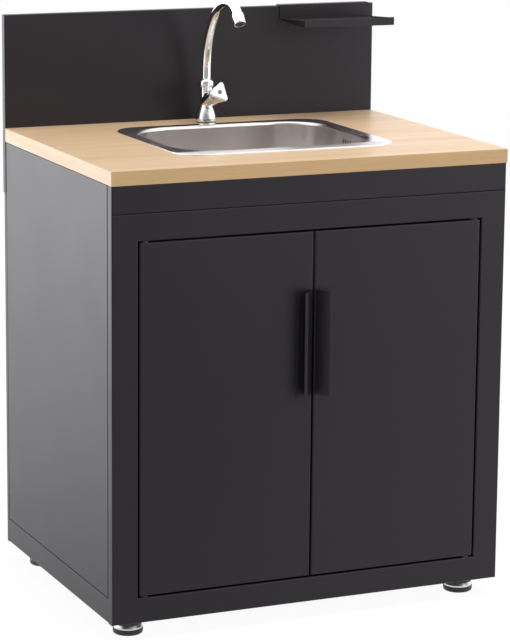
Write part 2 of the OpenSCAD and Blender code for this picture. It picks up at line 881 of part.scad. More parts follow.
module sink_seal() {
    lip = flange_edge_r + 0.1;
    color("#222222")
        translate([sink_x, flange_y, worktop_h])
            linear_extrude(seal_t)
                difference() {
                    rounded_rect(flange_w - 2 * lip, flange_d - 2 * lip, flange_r - lip);
                    rounded_rect(cutout_w, cutout_d, cutout_r);
                }
}

// Clips that pull the flange down: an arm under the worktop and a leg on the bowl's wall
module sink_clips() {
    leg_x = bowl_w / 2 + bowl_t;
    leg_y = bowl_d / 2 + bowl_t;
    reach_x = cutout_w / 2 + clip_len - leg_x;
    color("silver")
        translate([sink_x, bowl_cy, z_under]) {
            for (side = [-1, 1], y = [-0.18, 0.18])
                translate([side * leg_x, y * bowl_d, 0]) mirror([side < 0 ? 1 : 0, 0, 0]) clip(reach_x);
            for (x = [-0.24, 0.24]) {
                translate([x * bowl_w, -leg_y, 0])
                    rotate(-90) clip(bowl_cy - flange_y + cutout_d / 2 + clip_len - leg_y);
                translate([x * bowl_w, leg_y, 0])
                    rotate(90) clip(flange_y - bowl_cy + cutout_d / 2 + clip_len - leg_y);
            }
        }
}

module clip(reach) {
    translate([0, -clip_w / 2, -clip_t]) cube([reach, clip_w, clip_t]);
    translate([0, -clip_w / 2, -clip_h]) cube([clip_t, clip_w, clip_h]);
}

// Waste, overflow and bottle trap

module waste_body() {
    r_hole = waste_hole_d / 2 - 0.2;
    r_cup = r_hole - waste_wall;
    r_tail = tail_d / 2;
    color("#b9bcc0")
        translate([sink_x, bowl_cy, 0])
            difference() {
                rotate_extrude()
                    polygon([
                        [r_hole + waste_flange_w, z_floor],
                        [r_hole + waste_flange_w - 2, z_floor + waste_wall],
                        [r_cup, z_floor + waste_wall / 2], [r_cup - 2, z_cup + 8],
                        [r_cup - 8, z_cup + waste_wall],
                        [r_tail - waste_wall, z_cup + waste_wall], [r_tail - waste_wall, z_tail],
                        [r_tail, z_tail], [r_tail, z_cup], [r_cup - 6, z_cup],
                        [r_hole, z_cup + 8], [r_hole, z_floor]
                    ]);
                translate([0, 0, z_port])
                    rotate([0, 0, -overflow_turn]) rotate([0, 90, 0])
                        cylinder(d = overflow_pipe_d - 6, h = waste_hole_d);
            }
}

module waste_gasket() {
    color("#222222")
        translate([sink_x, bowl_cy, 0])
            tube(waste_hole_d + 2 * waste_flange_w, waste_hole_d + 0.4,
                 z_under_bowl - gasket_t, z_under_bowl);
}

module waste_ring() {
    z1 = z_under_bowl - gasket_t;
    color("#e8e8e8")
        translate([sink_x, bowl_cy, 0])
            tube(waste_hole_d + 2 * waste_flange_w, waste_hole_d + 0.4, z1 - 7, z1);
}

// Lift-out strainer: a shallow perforated cup with a knob in its middle
module strainer_basket() {
    r = basket_d / 2;
    z_rim = z_floor + waste_wall + rest_gap;
    depth = waste_h - 18;
    color("#c9ccd0")
        translate([sink_x, bowl_cy, 0])
            difference() {
                union() {
                    rotate_extrude()
                        polygon([
                            [0, z_rim - depth], [0, z_rim - depth + basket_wall],
                            [r - 8, z_rim - depth + basket_wall], [r - basket_wall, z_rim - 6],
                            [r - basket_wall, z_rim - basket_wall], [r + 4, z_rim + basket_wall],
                            [r + 4, z_rim], [r, z_rim - basket_wall], [r, z_rim - 6],
                            [r - 8 + basket_wall, z_rim - depth]
                        ]);
                    translate([0, 0, z_rim - depth]) cylinder(d = 7, h = depth);
                    translate([0, 0, z_rim]) cylinder(d1 = 12, d2 = 16, h = 5);
                }
                for (i = [0 : 7])
                    rotate(i * 45)
                        translate([basket_d / 4, 0, z_rim - depth - over])
                            cylinder(d = 6, h = basket_wall + 2 * over);
            }
}

// Box behind the overflow slots, with a deeper foot under the worktop that takes the pipe
module overflow_elbow() {
    w = slot_count * slot_pitch + 6;
    foot_h = z_under - rest_gap - overflow_z + elbow_h / 2;
    color("#2a2a2a")
        translate([bowl_side_x + bowl_t, overflow_y, overflow_z - elbow_h / 2])
            difference() {
                union() {
                    translate([0, -w / 2, 0]) cube([elbow_top_d, w, elbow_h]);
                    translate([0, -w / 2, 0]) cube([elbow_d, w, foot_h]);
                }
                translate([-over, -w / 2 + 3, 3])
                    cube([elbow_top_d + over - elbow_wall, w - 6, elbow_h - 6]);
                translate([0, -w / 2 + 3, 3])
                    cube([elbow_d - elbow_wall, w - 6, foot_h - 3 - elbow_wall]);
                translate([pipe_x - bowl_side_x - bowl_t, 0, -over])
                    cylinder(d = overflow_pipe_d - 6, h = 5);
            }
}

// Two lengths of pipe in a thicker elbow, each reaching a little way into its end
module overflow_pipe() {
    d_in = overflow_pipe_d - 5;
    r = pipe_bend_r;
    run = pipe_run - r - waste_hole_d / 2;
    color("#2a2a2a")
        translate([pipe_x, overflow_y, z_port]) {
            tube(overflow_pipe_d, d_in, r - over, overflow_z - elbow_h / 2 - z_port);
            rotate(180 - overflow_turn) translate([r, 0, 0]) {
                translate([0, 0, r])
                    rotate([-90, 0, 180]) rotate_extrude(angle = 90)
                        translate([r, 0]) ring_section(overflow_pipe_d + 3, d_in + 1);
                translate([-over, 0, 0])
                    rotate([0, 90, 0])
                        linear_extrude(run + over) ring_section(overflow_pipe_d, d_in);
            }
        }
}

module ring_section(d_out, d_in) {
    difference() {
        circle(d = d_out);
        circle(d = d_in);
    }
}

module trap_nut() {
    color("#e8e8e8")
        translate([sink_x, bowl_cy, 0])
            difference() {
                union() {
                    tube(tail_d + 12, tail_d + 0.2, z_tail, z_tail + nut_h);
                    tube(tail_d + 12, pipe_d + 0.2, z_tail - 4, z_tail);
                }
                grip_grooves(tail_d + 12, z_tail - 4, nut_h + 4);
            }
}

// Grip grooves round a plastic nut
module grip_grooves(d, z0, h) {
    for (i = [0 : 15])
        rotate(i * 360 / 16)
            translate([d / 2 + 1, 0, z0 - over]) cylinder(r = 2, h = h + 2 * over, $fn = 16);
}

// The bottle's head: inlet pipe down the middle, and a branch to the back
module trap_body() {
    bore = pipe_d - 2 * pipe_wall;
    branch = bottle_d / 2 + branch_len;
    z0 = outlet_z - bottle_d / 2;
    color("#e8e8e8")
        translate([sink_x, bowl_cy, 0])
            difference() {
                union() {
                    translate([0, 0, z0]) cylinder(d = bottle_d, h = z_bottle - z0);
                    translate([0, 0, z_bottle]) cylinder(d1 = bottle_d, d2 = pipe_d, h = 8);
                    translate([0, 0, z_bottle]) cylinder(d = pipe_d, h = z_tail - z_bottle);
                    translate([0, 0, outlet_z])
                        rotate([-90, 0, 0]) cylinder(d = socket_d, h = branch);
                }
                translate([0, 0, z0 - over])
                    cylinder(d = bottle_d - 2 * pipe_wall, h = z_bottle - z0 + over - pipe_wall);
                translate([0, 0, z_bottle - pipe_wall - over])
                    cylinder(d = bore, h = z_tail - z_bottle + pipe_wall + 2 * over);
                translate([0, 0, outlet_z]) rotate([-90, 0, 0]) cylinder(d = bore, h = branch + over);
            }
}

module trap_cup() {
    z1 = outlet_z - bottle_d / 2;
    color("#e8e8e8")
        translate([sink_x, bowl_cy, 0])
            difference() {
                rotate_extrude()
                    polygon([
                        [0, cup_z], [bottle_d / 2 - 8, cup_z], [bottle_d / 2 - 1, cup_z + 10],
                        [bottle_d / 2 - 1, z1 - 12], [bottle_d / 2 + 5, z1 - 12], [bottle_d / 2 + 5, z1 + 8],
                        [bottle_d / 2 + 0.2, z1 + 8], [bottle_d / 2 + 0.2, z1],
                        [bottle_d / 2 - 1 - pipe_wall, z1], [bottle_d / 2 - 1 - pipe_wall, cup_z + 11],
                        [bottle_d / 2 - 9, cup_z + pipe_wall], [0, cup_z + pipe_wall]
                    ]);
                grip_grooves(bottle_d + 10, z1 - 12, 20);
            }
}

module outlet_nut() {
    color("#e8e8e8")
        translate([sink_x, y_branch, outlet_z])
            rotate([-90, 0, 0])
                difference() {
                    tube(outlet_nut_d, socket_d + 0.2, -outlet_nut_back, outlet_nut_front);
                    grip_grooves(outlet_nut_d, -outlet_nut_back, outlet_nut_back + outlet_nut_front);
                }
}

// Outlet pipe, with a thicker seat where the nut holds it
module outlet_pipe() {
    free = outlet_len - branch_len;
    color("#e8e8e8")
        translate([sink_x, y_branch, outlet_z])
            rotate([-90, 0, 0])
                difference() {
                    union() {
                        cylinder(d = socket_d, h = outlet_nut_front);
                        cylinder(d = pipe_d, h = free);
                    }
                    translate([0, 0, -over]) cylinder(d = pipe_d - 2 * pipe_wall, h = free + 2 * over);
                }
}

// Tap

module tap_gasket() {
    color("#222222")
        translate([tap_x, tap_y, 0]) tube(tap_foot_d - 2, tap_hole_d, worktop_h, z_bell);
}

// Outline of the bell-shaped foot: a quarter wave from the foot's radius to the body's radius
bell_steps = 8;
function bell_r(s) = tap_body_d / 2 + (tap_foot_d - tap_body_d) / 2 * cos(90 * s);
bell_line = [
    for (i = [0 : bell_steps])
        [bell_r(i / bell_steps), z_bell + foot_rim_h + i / bell_steps * (tap_bell_h - foot_rim_h)]
];

module tap_body() {
    z_thread = z_union - union_h - 2 * rest_gap;
    z_seat = z_collar - rest_gap;
    spout_bore = spout_d + 2 * run_fit;
    z_bore = z_collar - plug_h - 2;
    color("#d8dade")
        translate([tap_x, tap_y, 0])
            difference() {
                union() {
                    rotate_extrude()
                        polygon(concat(
                            [[0, z_bell], [tap_foot_d / 2 - 0.6, z_bell], [tap_foot_d / 2, z_bell + 0.6]],
                            bell_line,
                            [[tap_body_d / 2, z_thread], [0, z_thread]]
                        ));
                    translate([0, 0, z_thread]) cylinder(d = thread_d, h = z_seat - z_thread);
                    translate([0, 0, worktop_h + head_z])
                        rotate([90 - head_tilt, 0, 0]) cylinder(d = tap_body_d, h = head_boss);
                    translate([0, 0, z_shank])
                        cylinder(d = tap_shank_d, h = z_bell + over - z_shank);
                    translate([0, 0, z_under - tap_tail_len])
                        cylinder(d = tap_tail_d, h = tap_tail_len - washer_t - back_nut_h + over);
                }
                translate([0, 0, z_under - tap_tail_len - over])
                    cylinder(d = tap_bore_d, h = z_bell + tap_bore_rise - z_under + tap_tail_len);
                translate([0, 0, z_bore]) cylinder(d = spout_bore, h = z_seat - z_bore + over);
            }
}

module tap_back_nut() {
    color("#c8a760")
        translate([tap_x, tap_y, 0]) {
            tube(tap_shank_d + 14, tap_shank_d + 0.3, z_under - washer_t, z_under);
            hex_nut(tap_shank_d + 9, tap_shank_d + 0.2, z_shank, z_under - washer_t);
        }
}

// Puts its children on the headwork's axis, pointing along +Z from the tap's own axis
module on_head_axis() {
    translate([tap_x, tap_y, worktop_h + head_z]) rotate([90 - head_tilt, 0, 0]) children();
}

module tap_headwork() {
    bore = spindle_d + 2 * run_fit;
    color("#d8dade")
        on_head_axis()
            difference() {
                translate([0, 0, head_boss]) cylinder(d = bonnet_d, h = bonnet_end - head_boss);
                translate([0, 0, spindle_start - 0.5])
                    cylinder(d = bore, h = bonnet_end - spindle_start + over);
            }
}

module tap_spindle() {
    color("#c8a760")
        on_head_axis()
            translate([0, 0, spindle_start]) cylinder(d = spindle_d, h = spindle_end - spindle_start);
}

// Three-cornered handle that widens towards its face
module tap_handle() {
    corner = 5;
    z0 = head_reach - knob_len;
    color("#d8dade")
        on_head_axis()
            rotate(knob_turn)
                difference() {
                    hull() {
                        translate([0, 0, z0]) cylinder(d = knob_back_d, h = 2, $fn = 32);
                        for (a = [0, 120, 240])
                            rotate(a) translate([knob_r - corner, 0, head_reach]) {
                                translate([0, 0, -6]) cylinder(r = corner, h = 4.5, $fn = 32);
                                translate([0, 0, -1]) cylinder(r = corner - 1, h = 1, $fn = 32);
                            }
                    }
                    translate([0, 0, z0 - over]) cylinder(d = bonnet_d + 1, h = bonnet_end - z0 + over + 0.5);
                    translate([0, 0, z0]) cylinder(d = spindle_d + 0.05, h = spindle_end - z0);
                    translate([0, 0, head_reach - cap_t / 2]) cylinder(d = cap_d + 0.1, h = cap_t);
                }
}

module tap_cap() {
    color("#8a93b0")
        on_head_axis() translate([0, 0, head_reach - cap_t / 2]) cylinder(d = cap_d, h = cap_t);
}

// Union nut: threaded on the body, with a lip that keeps the spout's collar down
module union_nut() {
    z0 = z_union - union_h;
    color("#d8dade")
        translate([tap_x, tap_y, 0])
            difference() {
                union() {
                    translate([0, 0, z0]) cylinder(d = union_d, h = union_h - nut_lip_h);
                    translate([0, 0, z_union - nut_lip_h])
                        cylinder(d1 = union_d, d2 = union_d - 4, h = nut_lip_h);
                }
                translate([0, 0, z0 - over])
                    cylinder(d = thread_d + 0.1, h = union_h - nut_lip_h + over);
                translate([0, 0, z0]) cylinder(d = spout_d + 2 * rest_gap, h = union_h + over);
            }
}

// Swan neck: a tube swept through its bends, each ring given by its place behind and above the
// neck's start and by its tilt forwards
function neck_rings(i = 0, y = 0, z = 0, a = 0) =
    i == len(bends) ? [] :
    let (r = bends[i][0], b = a + bends[i][1], n = ceil(bends[i][1] / bend_step))
    concat(
        [for (k = [1 : n])
            let (c = a + (b - a) * k / n)
            [y - r * (cos(a) - cos(c)), z + r * (sin(c) - sin(a)), c]],
        neck_rings(i + 1, y - r * (cos(a) - cos(b)), z + r * (sin(b) - sin(a)), b)
    );

// The bends, with a straight end that the aerator's sleeve fits round
bent_neck = concat([[0, 0, 0]], neck_rings());
last_ring = bent_neck[len(bent_neck) - 1];
neck_end = [
    last_ring[0] - neck_tail * sin(last_ring[2]),
    last_ring[1] + neck_tail * cos(last_ring[2]),
    last_ring[2]
];
neck = concat(bent_neck, [neck_end]);

function ring_points(ring, d) = [
    for (i = [0 : neck_sides - 1])
        let (t = 360 * i / neck_sides, n = d / 2 * sin(t))
        [d / 2 * cos(t), ring[0] + n * cos(ring[2]), ring[1] + n * sin(ring[2])]
];

module swept_neck(d_out, d_in) {
    n = neck_sides;
    m = len(neck);
    points = concat(
        [for (ring = neck) each ring_points(ring, d_out)],
        [for (ring = neck) each ring_points(ring, d_in)]
    );
    inner = n * m;
    faces = concat(
        [for (j = [0 : m - 2], i = [0 : n - 1])
            let (k = (i + 1) % n) [j * n + i, (j + 1) * n + i, (j + 1) * n + k, j * n + k]],
        [for (j = [0 : m - 2], i = [0 : n - 1])
            let (k = (i + 1) % n)
            [inner + j * n + k, inner + (j + 1) * n + k, inner + (j + 1) * n + i, inner + j * n + i]],
        [for (i = [0 : n - 1]) let (k = (i + 1) % n) [k, inner + k, inner + i, i]],
        [for (i = [0 : n - 1])
            let (k = (i + 1) % n, e = (m - 1) * n) [e + i, inner + e + i, inner + e + k, e + k]]
    );
    polyhedron(points, faces);
}

module on_neck_start() {
    translate([tap_x, tap_y, z_union + spout_rise]) children();
}

module spout() {
    bore = spout_d - 2 * spout_wall;
    color("#d8dade") {
        translate([tap_x, tap_y, 0])
            difference() {
                union() {
                    translate([0, 0, z_collar - plug_h])
                        cylinder(d = spout_d, h = z_union + spout_rise - z_collar + plug_h);
                    translate([0, 0, z_collar]) cylinder(d = collar_d, h = collar_h);
                }
                translate([0, 0, z_collar - plug_h - over])
                    cylinder(d = bore, h = z_union + spout_rise - z_collar + plug_h + 2 * over);
            }
        on_neck_start() swept_neck(spout_d - facet_gap, bore + facet_gap);
    }
}

module aerator() {
    color("#d8dade")
        on_neck_start()
            translate([0, neck_end[0], neck_end[1]])
            rotate([neck_end[2], 0, 0])
            difference() {
                union() {
                    cylinder(d = aerator_d, h = aerator_len - 1);
                    translate([0, 0, aerator_len - 1]) cylinder(d1 = aerator_d, d2 = aerator_d - 2, h = 1);
                    translate([0, 0, -5]) cylinder(d = aerator_d - 1, h = 5);
                }
                translate([0, 0, -5 - over]) cylinder(d = spout_d + 0.1, h = 5 + over);
                translate([0, 0, -over]) cylinder(d = aerator_d - 7, h = aerator_len + 2 * over);
            }
}

// Feet

module foot_pad(x, y) {
    color("#161618")
        translate([x, y, 0])
            difference() {
                rotate_extrude()
                    polygon([
                        [0, 0], [foot_d / 2 - 3, 0], [foot_d / 2 - 0.8, 1.5], [foot_d / 2, 4],
                        [foot_d / 2, pad_h - 1], [foot_d / 2 - 1, pad_h], [0, pad_h]
                    ]);
                translate([0, 0, pad_h - 4]) cylinder(d = stem_d + 0.1, h = 4 + over);
            }
}

module foot_stem(x, y) {
    color("silver")
        translate([x, y, 0]) {
            rotate_extrude()
                polygon([
                    [0, pad_h], [foot_d / 2 - 1.2, pad_h], [foot_d / 2 - 1.2, pad_h + 3],
                    [foot_d / 2 - 4, pad_h + ring_h], [0, pad_h + ring_h]
                ]);
            translate([0, 0, pad_h - 4]) cylinder(d = stem_d, h = stem_top - pad_h + 4);
        }
}

module front_left_pad() foot_pad(foot_xs[0], foot_ys[0]);
module front_left_stem() foot_stem(foot_xs[0], foot_ys[0]);
module front_right_pad() foot_pad(foot_xs[1], foot_ys[0]);
module front_right_stem() foot_stem(foot_xs[1], foot_ys[0]);
module back_left_pad() foot_pad(foot_xs[0], foot_ys[1]);
module back_left_stem() foot_stem(foot_xs[0], foot_ys[1]);
module back_right_pad() foot_pad(foot_xs[1], foot_ys[1]);
module back_right_stem() foot_stem(foot_xs[1], foot_ys[1]);

module foot_collars() {
    color("#161618")
        for (x = foot_xs, y = foot_ys)
            translate([x, y, 0]) tube(foot_d - 3, stem_d + 1, collar_z, body_lift);
}

module foot_nuts() {
    z0 = body_lift + sheet_t;
    color("silver")
        for (x = foot_xs, y = foot_ys)
            translate([x, y, 0]) hex_nut(1.7 * stem_d, stem_d + 2 * run_fit, z0, z0 + foot_nut_h);
}

worktop();
fascia();
front_frame();
base_tray();
left_side();
right_side();
back_panel();
back_rail();
splashback();
shelf();
left_door();
left_door_liner();
left_handle();
left_handle_rivets();
left_door_bushes();
left_strike();
right_door();
right_door_liner();
right_handle();
right_handle_rivets();
right_door_bushes();
right_strike();
door_pins();
magnet_catches();
sink_bowl();
sink_seal();
sink_clips();
waste_body();
waste_gasket();
waste_ring();
strainer_basket();
overflow_elbow();
overflow_pipe();
trap_nut();
trap_body();
trap_cup();
outlet_nut();
outlet_pipe();
tap_gasket();
tap_body();
tap_back_nut();
tap_headwork();
tap_spindle();
tap_handle();
tap_cap();
union_nut();
spout();
aerator();
front_left_pad();
front_left_stem();
front_right_pad();
front_right_stem();
back_left_pad();
back_left_stem();
back_right_pad();
back_right_stem();
foot_collars();
foot_nuts();
worktop_screws();
rear_screws();
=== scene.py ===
"""Outdoor kitchen sink cabinet: finishes, tap parts and studio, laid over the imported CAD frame."""

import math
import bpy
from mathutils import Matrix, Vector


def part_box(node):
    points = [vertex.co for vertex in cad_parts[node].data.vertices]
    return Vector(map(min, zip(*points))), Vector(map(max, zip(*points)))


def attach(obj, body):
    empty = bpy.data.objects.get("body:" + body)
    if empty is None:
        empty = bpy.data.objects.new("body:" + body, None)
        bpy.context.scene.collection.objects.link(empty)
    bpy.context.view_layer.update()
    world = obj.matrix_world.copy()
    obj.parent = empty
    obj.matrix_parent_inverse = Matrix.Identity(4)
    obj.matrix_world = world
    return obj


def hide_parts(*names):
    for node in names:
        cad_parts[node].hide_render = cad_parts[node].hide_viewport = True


bl_info = {
    "name": "Outdoor Kitchen Sink Cabinet",
    "version": (1, 0, 0),
    "blender": (4, 5, 0),
    "location": "3D View > Sidebar > Sink Cabinet",
    "description": "Dresses the CAD model of an outdoor kitchen sink cabinet and sets up its studio",
    "category": "Add Mesh",
}

import bmesh
import bpy
from bpy.props import FloatProperty, FloatVectorProperty, IntProperty, PointerProperty
from mathutils import Matrix, Vector

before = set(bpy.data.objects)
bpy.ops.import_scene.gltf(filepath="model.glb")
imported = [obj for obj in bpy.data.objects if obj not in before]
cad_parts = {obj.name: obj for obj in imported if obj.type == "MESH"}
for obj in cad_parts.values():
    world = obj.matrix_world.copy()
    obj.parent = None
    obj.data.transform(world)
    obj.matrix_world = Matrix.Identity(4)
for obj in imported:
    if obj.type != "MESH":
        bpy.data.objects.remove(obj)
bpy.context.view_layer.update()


# ---------------------------------------------------------------- sizes and colours

# The tap's axis is the middle of its body; its bends are the CAD neck's own
tap_low, tap_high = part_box("union_nut")
TAP_X = (tap_low.x + tap_high.x) / 2
TAP_Y = (tap_low.y + tap_high.y) / 2
NECK_START = tap_high.z + 0.015
NECK_BENDS = ((0.172, 43.0), (0.096, 58.0), (0.037, 44.0))
NECK_TAIL = 0.006
NECK_STEP = 1.5
HEAD_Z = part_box("worktop")[1].z + 0.042
HEAD_TILT = 21.5
HEAD_REACH = 0.078
HANDLE_LENGTH = 0.054

# Heads of the rear screws: three down each side of the back panel, four along the splashback's foot
BACK_SCREW_X = 0.4
BACK_SCREW_Y = 0.30185
BACK_SCREW_HEIGHTS = (0.11088, 0.42575, 0.72693)
SPLASH_SCREW_XS = (-0.31264, -0.10161, 0.10161, 0.31264)
SPLASH_SCREW_Y = 0.30485
SPLASH_SCREW_Z = 0.847

# Painted shade: the worktop's long edges are multiplied by this colour, darker and deeper than its face
PAINTED_EDGE_SHADE = (0.83, 0.77, 0.61, 1.0)

# The flange's front ledge falls to the front by this angle over this depth
LEDGE_DEPTH = 0.040
LEDGE_FALL = math.radians(9.0)

# Bright metal sees the studio darker to the front, where the photographer stood
FRONT = (-0.3827, -0.9239, 0.0)
SIDE = (0.9239, -0.3827, 0.0)
FLOOR_GLOW = 1.03
FLOOR_GLOW_SHARE = 0.92
FLOOR_SPREAD = -0.7
WORLD_LIGHT = 0.55


class CabinetFinish(bpy.types.PropertyGroup):
    coat_colour: FloatVectorProperty(
        name="Coat Colour", description="Colour of the powder coat on the steel",
        default=(0.0112, 0.0100, 0.0118), subtype="COLOR", min=0.0, max=1.0)
    coat_roughness: FloatProperty(
        name="Coat Roughness", description="How matt the powder coat is",
        default=0.42, min=0.1, max=0.9, subtype="FACTOR")
    coat_gloss: FloatProperty(
        name="Coat Gloss", description="How strongly the powder coat reflects",
        default=0.37, min=0.0, max=1.0, subtype="FACTOR")
    coat_tint: FloatVectorProperty(
        name="Coat Tint", description="Colour of what the powder coat reflects",
        default=(0.97, 0.91, 1.0), subtype="COLOR", min=0.0, max=1.0)
    peel_size: FloatProperty(
        name="Peel Size", description="Size of the powder coat's orange peel",
        default=0.0011, min=0.0003, max=0.01, unit="LENGTH", subtype="DISTANCE")
    wood_light: FloatVectorProperty(
        name="Light Grain", description="Lighter colour of the wood decor",
        default=(0.76, 0.545, 0.345), subtype="COLOR", min=0.0, max=1.0)
    wood_dark: FloatVectorProperty(
        name="Dark Grain", description="Darker colour of the wood decor",
        default=(0.60, 0.405, 0.235), subtype="COLOR", min=0.0, max=1.0)
    wood_roughness: FloatProperty(
        name="Wood Roughness", description="How matt the wood decor is",
        default=0.40, min=0.1, max=0.9, subtype="FACTOR")


class SinkFinish(bpy.types.PropertyGroup):
    steel_colour: FloatVectorProperty(
        name="Steel Colour", description="Colour of the stainless steel",
        default=(0.80, 0.765, 0.745), subtype="COLOR", min=0.0, max=1.0)
    steel_roughness: FloatProperty(
        name="Steel Roughness", description="How matt the brushed steel is",
        default=0.23, min=0.05, max=0.9, subtype="FACTOR")
    brushing: FloatProperty(
        name="Brushing", description="How much further the brushed steel spreads a reflection one way",
        default=0.5, min=0.0, max=1.0, subtype="FACTOR")


class TapSizes(bpy.types.PropertyGroup):
    chrome_colour: FloatVectorProperty(
        name="Chrome Colour", description="Colour of the chrome plating",
        default=(0.86, 0.87, 0.89), subtype="COLOR", min=0.0, max=1.0)
    tube_diameter: FloatProperty(
        name="Tube Diameter", description="Outer diameter of the swan neck",
        default=0.0189, min=0.01, max=0.03, unit="LENGTH", subtype="DISTANCE")
    tube_sides: IntProperty(
        name="Tube Sides", description="Number of sides round the swan neck",
        default=48, min=12, max=96)
    aerator_diameter: FloatProperty(
        name="Aerator Diameter", description="Outer diameter of the aerator",
        default=0.024, min=0.022, max=0.03, unit="LENGTH", subtype="DISTANCE")
    handle_radius: FloatProperty(
        name="Handle Radius", description="Distance from the handle's axis to the tip of a corner",
        default=0.0225, min=0.018, max=0.024, unit="LENGTH", subtype="DISTANCE")
    handle_turn: FloatProperty(
        name="Handle Turn", description="Turn of the handle's corners about its axis",
        default=math.radians(68.5), min=0.0, max=math.radians(120), subtype="ANGLE")


class StudioSettings(bpy.types.PropertyGroup):
    floor_size: FloatProperty(
        name="Floor Size", description="Width of the pale floor",
        default=60.0, min=4.0, max=100.0, unit="LENGTH", subtype="DISTANCE")
    floor_colour: FloatVectorProperty(
        name="Floor Colour", description="Colour of the studio floor",
        default=(0.93, 0.93, 0.93), subtype="COLOR", min=0.0, max=1.0)
    focal_length: FloatProperty(
        name="Focal Length", description="Camera focal length in millimetres for a 36 mm sensor",
        default=153.57, min=20.0, max=300.0)


# ---------------------------------------------------------------- materials

def add(tree, kind, inputs=None, **settings):
    """Add a shader node, set its properties, and set or link its inputs."""
    made = tree.nodes.new(kind)
    for name, value in settings.items():
        setattr(made, name, value)
    for name, value in (inputs or {}).items():
        if isinstance(value, bpy.types.NodeSocket):
            tree.links.new(value, made.inputs[name])
        else:
            made.inputs[name].default_value = value
    return made


def start_material(name, **sockets):
    """A material with an empty node tree but for its Principled shader and output."""
    material = bpy.data.materials.new(name)
    material.use_nodes = True
    tree = material.node_tree
    tree.nodes.clear()
    shader = add(tree, "ShaderNodeBsdfPrincipled", sockets)
    output = add(tree, "ShaderNodeOutputMaterial")
    tree.links.new(shader.outputs["BSDF"], output.inputs["Surface"])
    return material, tree, shader


def noise(tree, vector, scale, detail=3.0, roughness=0.5):
    return add(tree, "ShaderNodeTexNoise", {
        "Vector": vector, "Scale": scale, "Detail": detail, "Roughness": roughness}).outputs["Fac"]


def spread(tree, value, low, high, start=0.3, end=0.7):
    """Carry a noise value between start and end over to low and high."""
    return add(tree, "ShaderNodeMapRange", {
        "Value": value, "From Min": start, "From Max": end, "To Min": low, "To Max": high}).outputs["Result"]


def blend_colours(tree, factor, first, second, mode="MIX"):
    made = add(tree, "ShaderNodeMix", data_type="RGBA", blend_type=mode)
    for name, value in (("Factor_Float", factor), ("A_Color", first), ("B_Color", second)):
        socket = next(s for s in made.inputs if s.identifier == name)
        if isinstance(value, bpy.types.NodeSocket):
            tree.links.new(value, socket)
        else:
            socket.default_value = value
    return next(s for s in made.outputs if s.identifier == "Result_Color")


def stretched(tree, vector, scale):
    return add(tree, "ShaderNodeMapping", {"Vector": vector, "Scale": scale}).outputs["Vector"]


def bump(tree, height, strength, distance, onto=None):
    made = add(tree, "ShaderNodeBump", {"Height": height, "Strength": strength, "Distance": distance})
    if onto is not None:
        tree.links.new(onto, made.inputs["Normal"])
    return made.outputs["Normal"]


def shade(colour, factor):
    return (*(min(1.0, channel * factor) for channel in colour[:3]), 1.0)


def object_coordinates(tree):
    return add(tree, "ShaderNodeTexCoord").outputs["Object"]


def powder_coat(name, finish):
    """Satin polyester coat: an even colour with a fine orange peel and faint clouding."""
    material, tree, shader = start_material(name, **{
        "Metallic": 0.0, "IOR": 1.5, "Specular IOR Level": finish.coat_gloss,
        "Specular Tint": (*finish.coat_tint, 1.0)})
    place = object_coordinates(tree)
    clouds = noise(tree, place, 2.6, 2.0)
    grains = noise(tree, place, 1400.0, 1.0)
    colour = blend_colours(tree, spread(tree, clouds, 0.0, 1.0), shade(finish.coat_colour, 0.93),
                           shade(finish.coat_colour, 1.07))
    colour = blend_colours(tree, spread(tree, grains, 0.0, 0.16), colour, shade(finish.coat_colour, 1.6))
    tree.links.new(colour, shader.inputs["Base Color"])
    matt = spread(tree, noise(tree, place, 7.0, 2.0),
                  finish.coat_roughness - 0.012, finish.coat_roughness + 0.012)
    tree.links.new(matt, shader.inputs["Roughness"])
    peel = noise(tree, place, 1.0 / finish.peel_size, 2.0)
    tree.links.new(bump(tree, peel, 0.07, 0.0002), shader.inputs["Normal"])
    return material


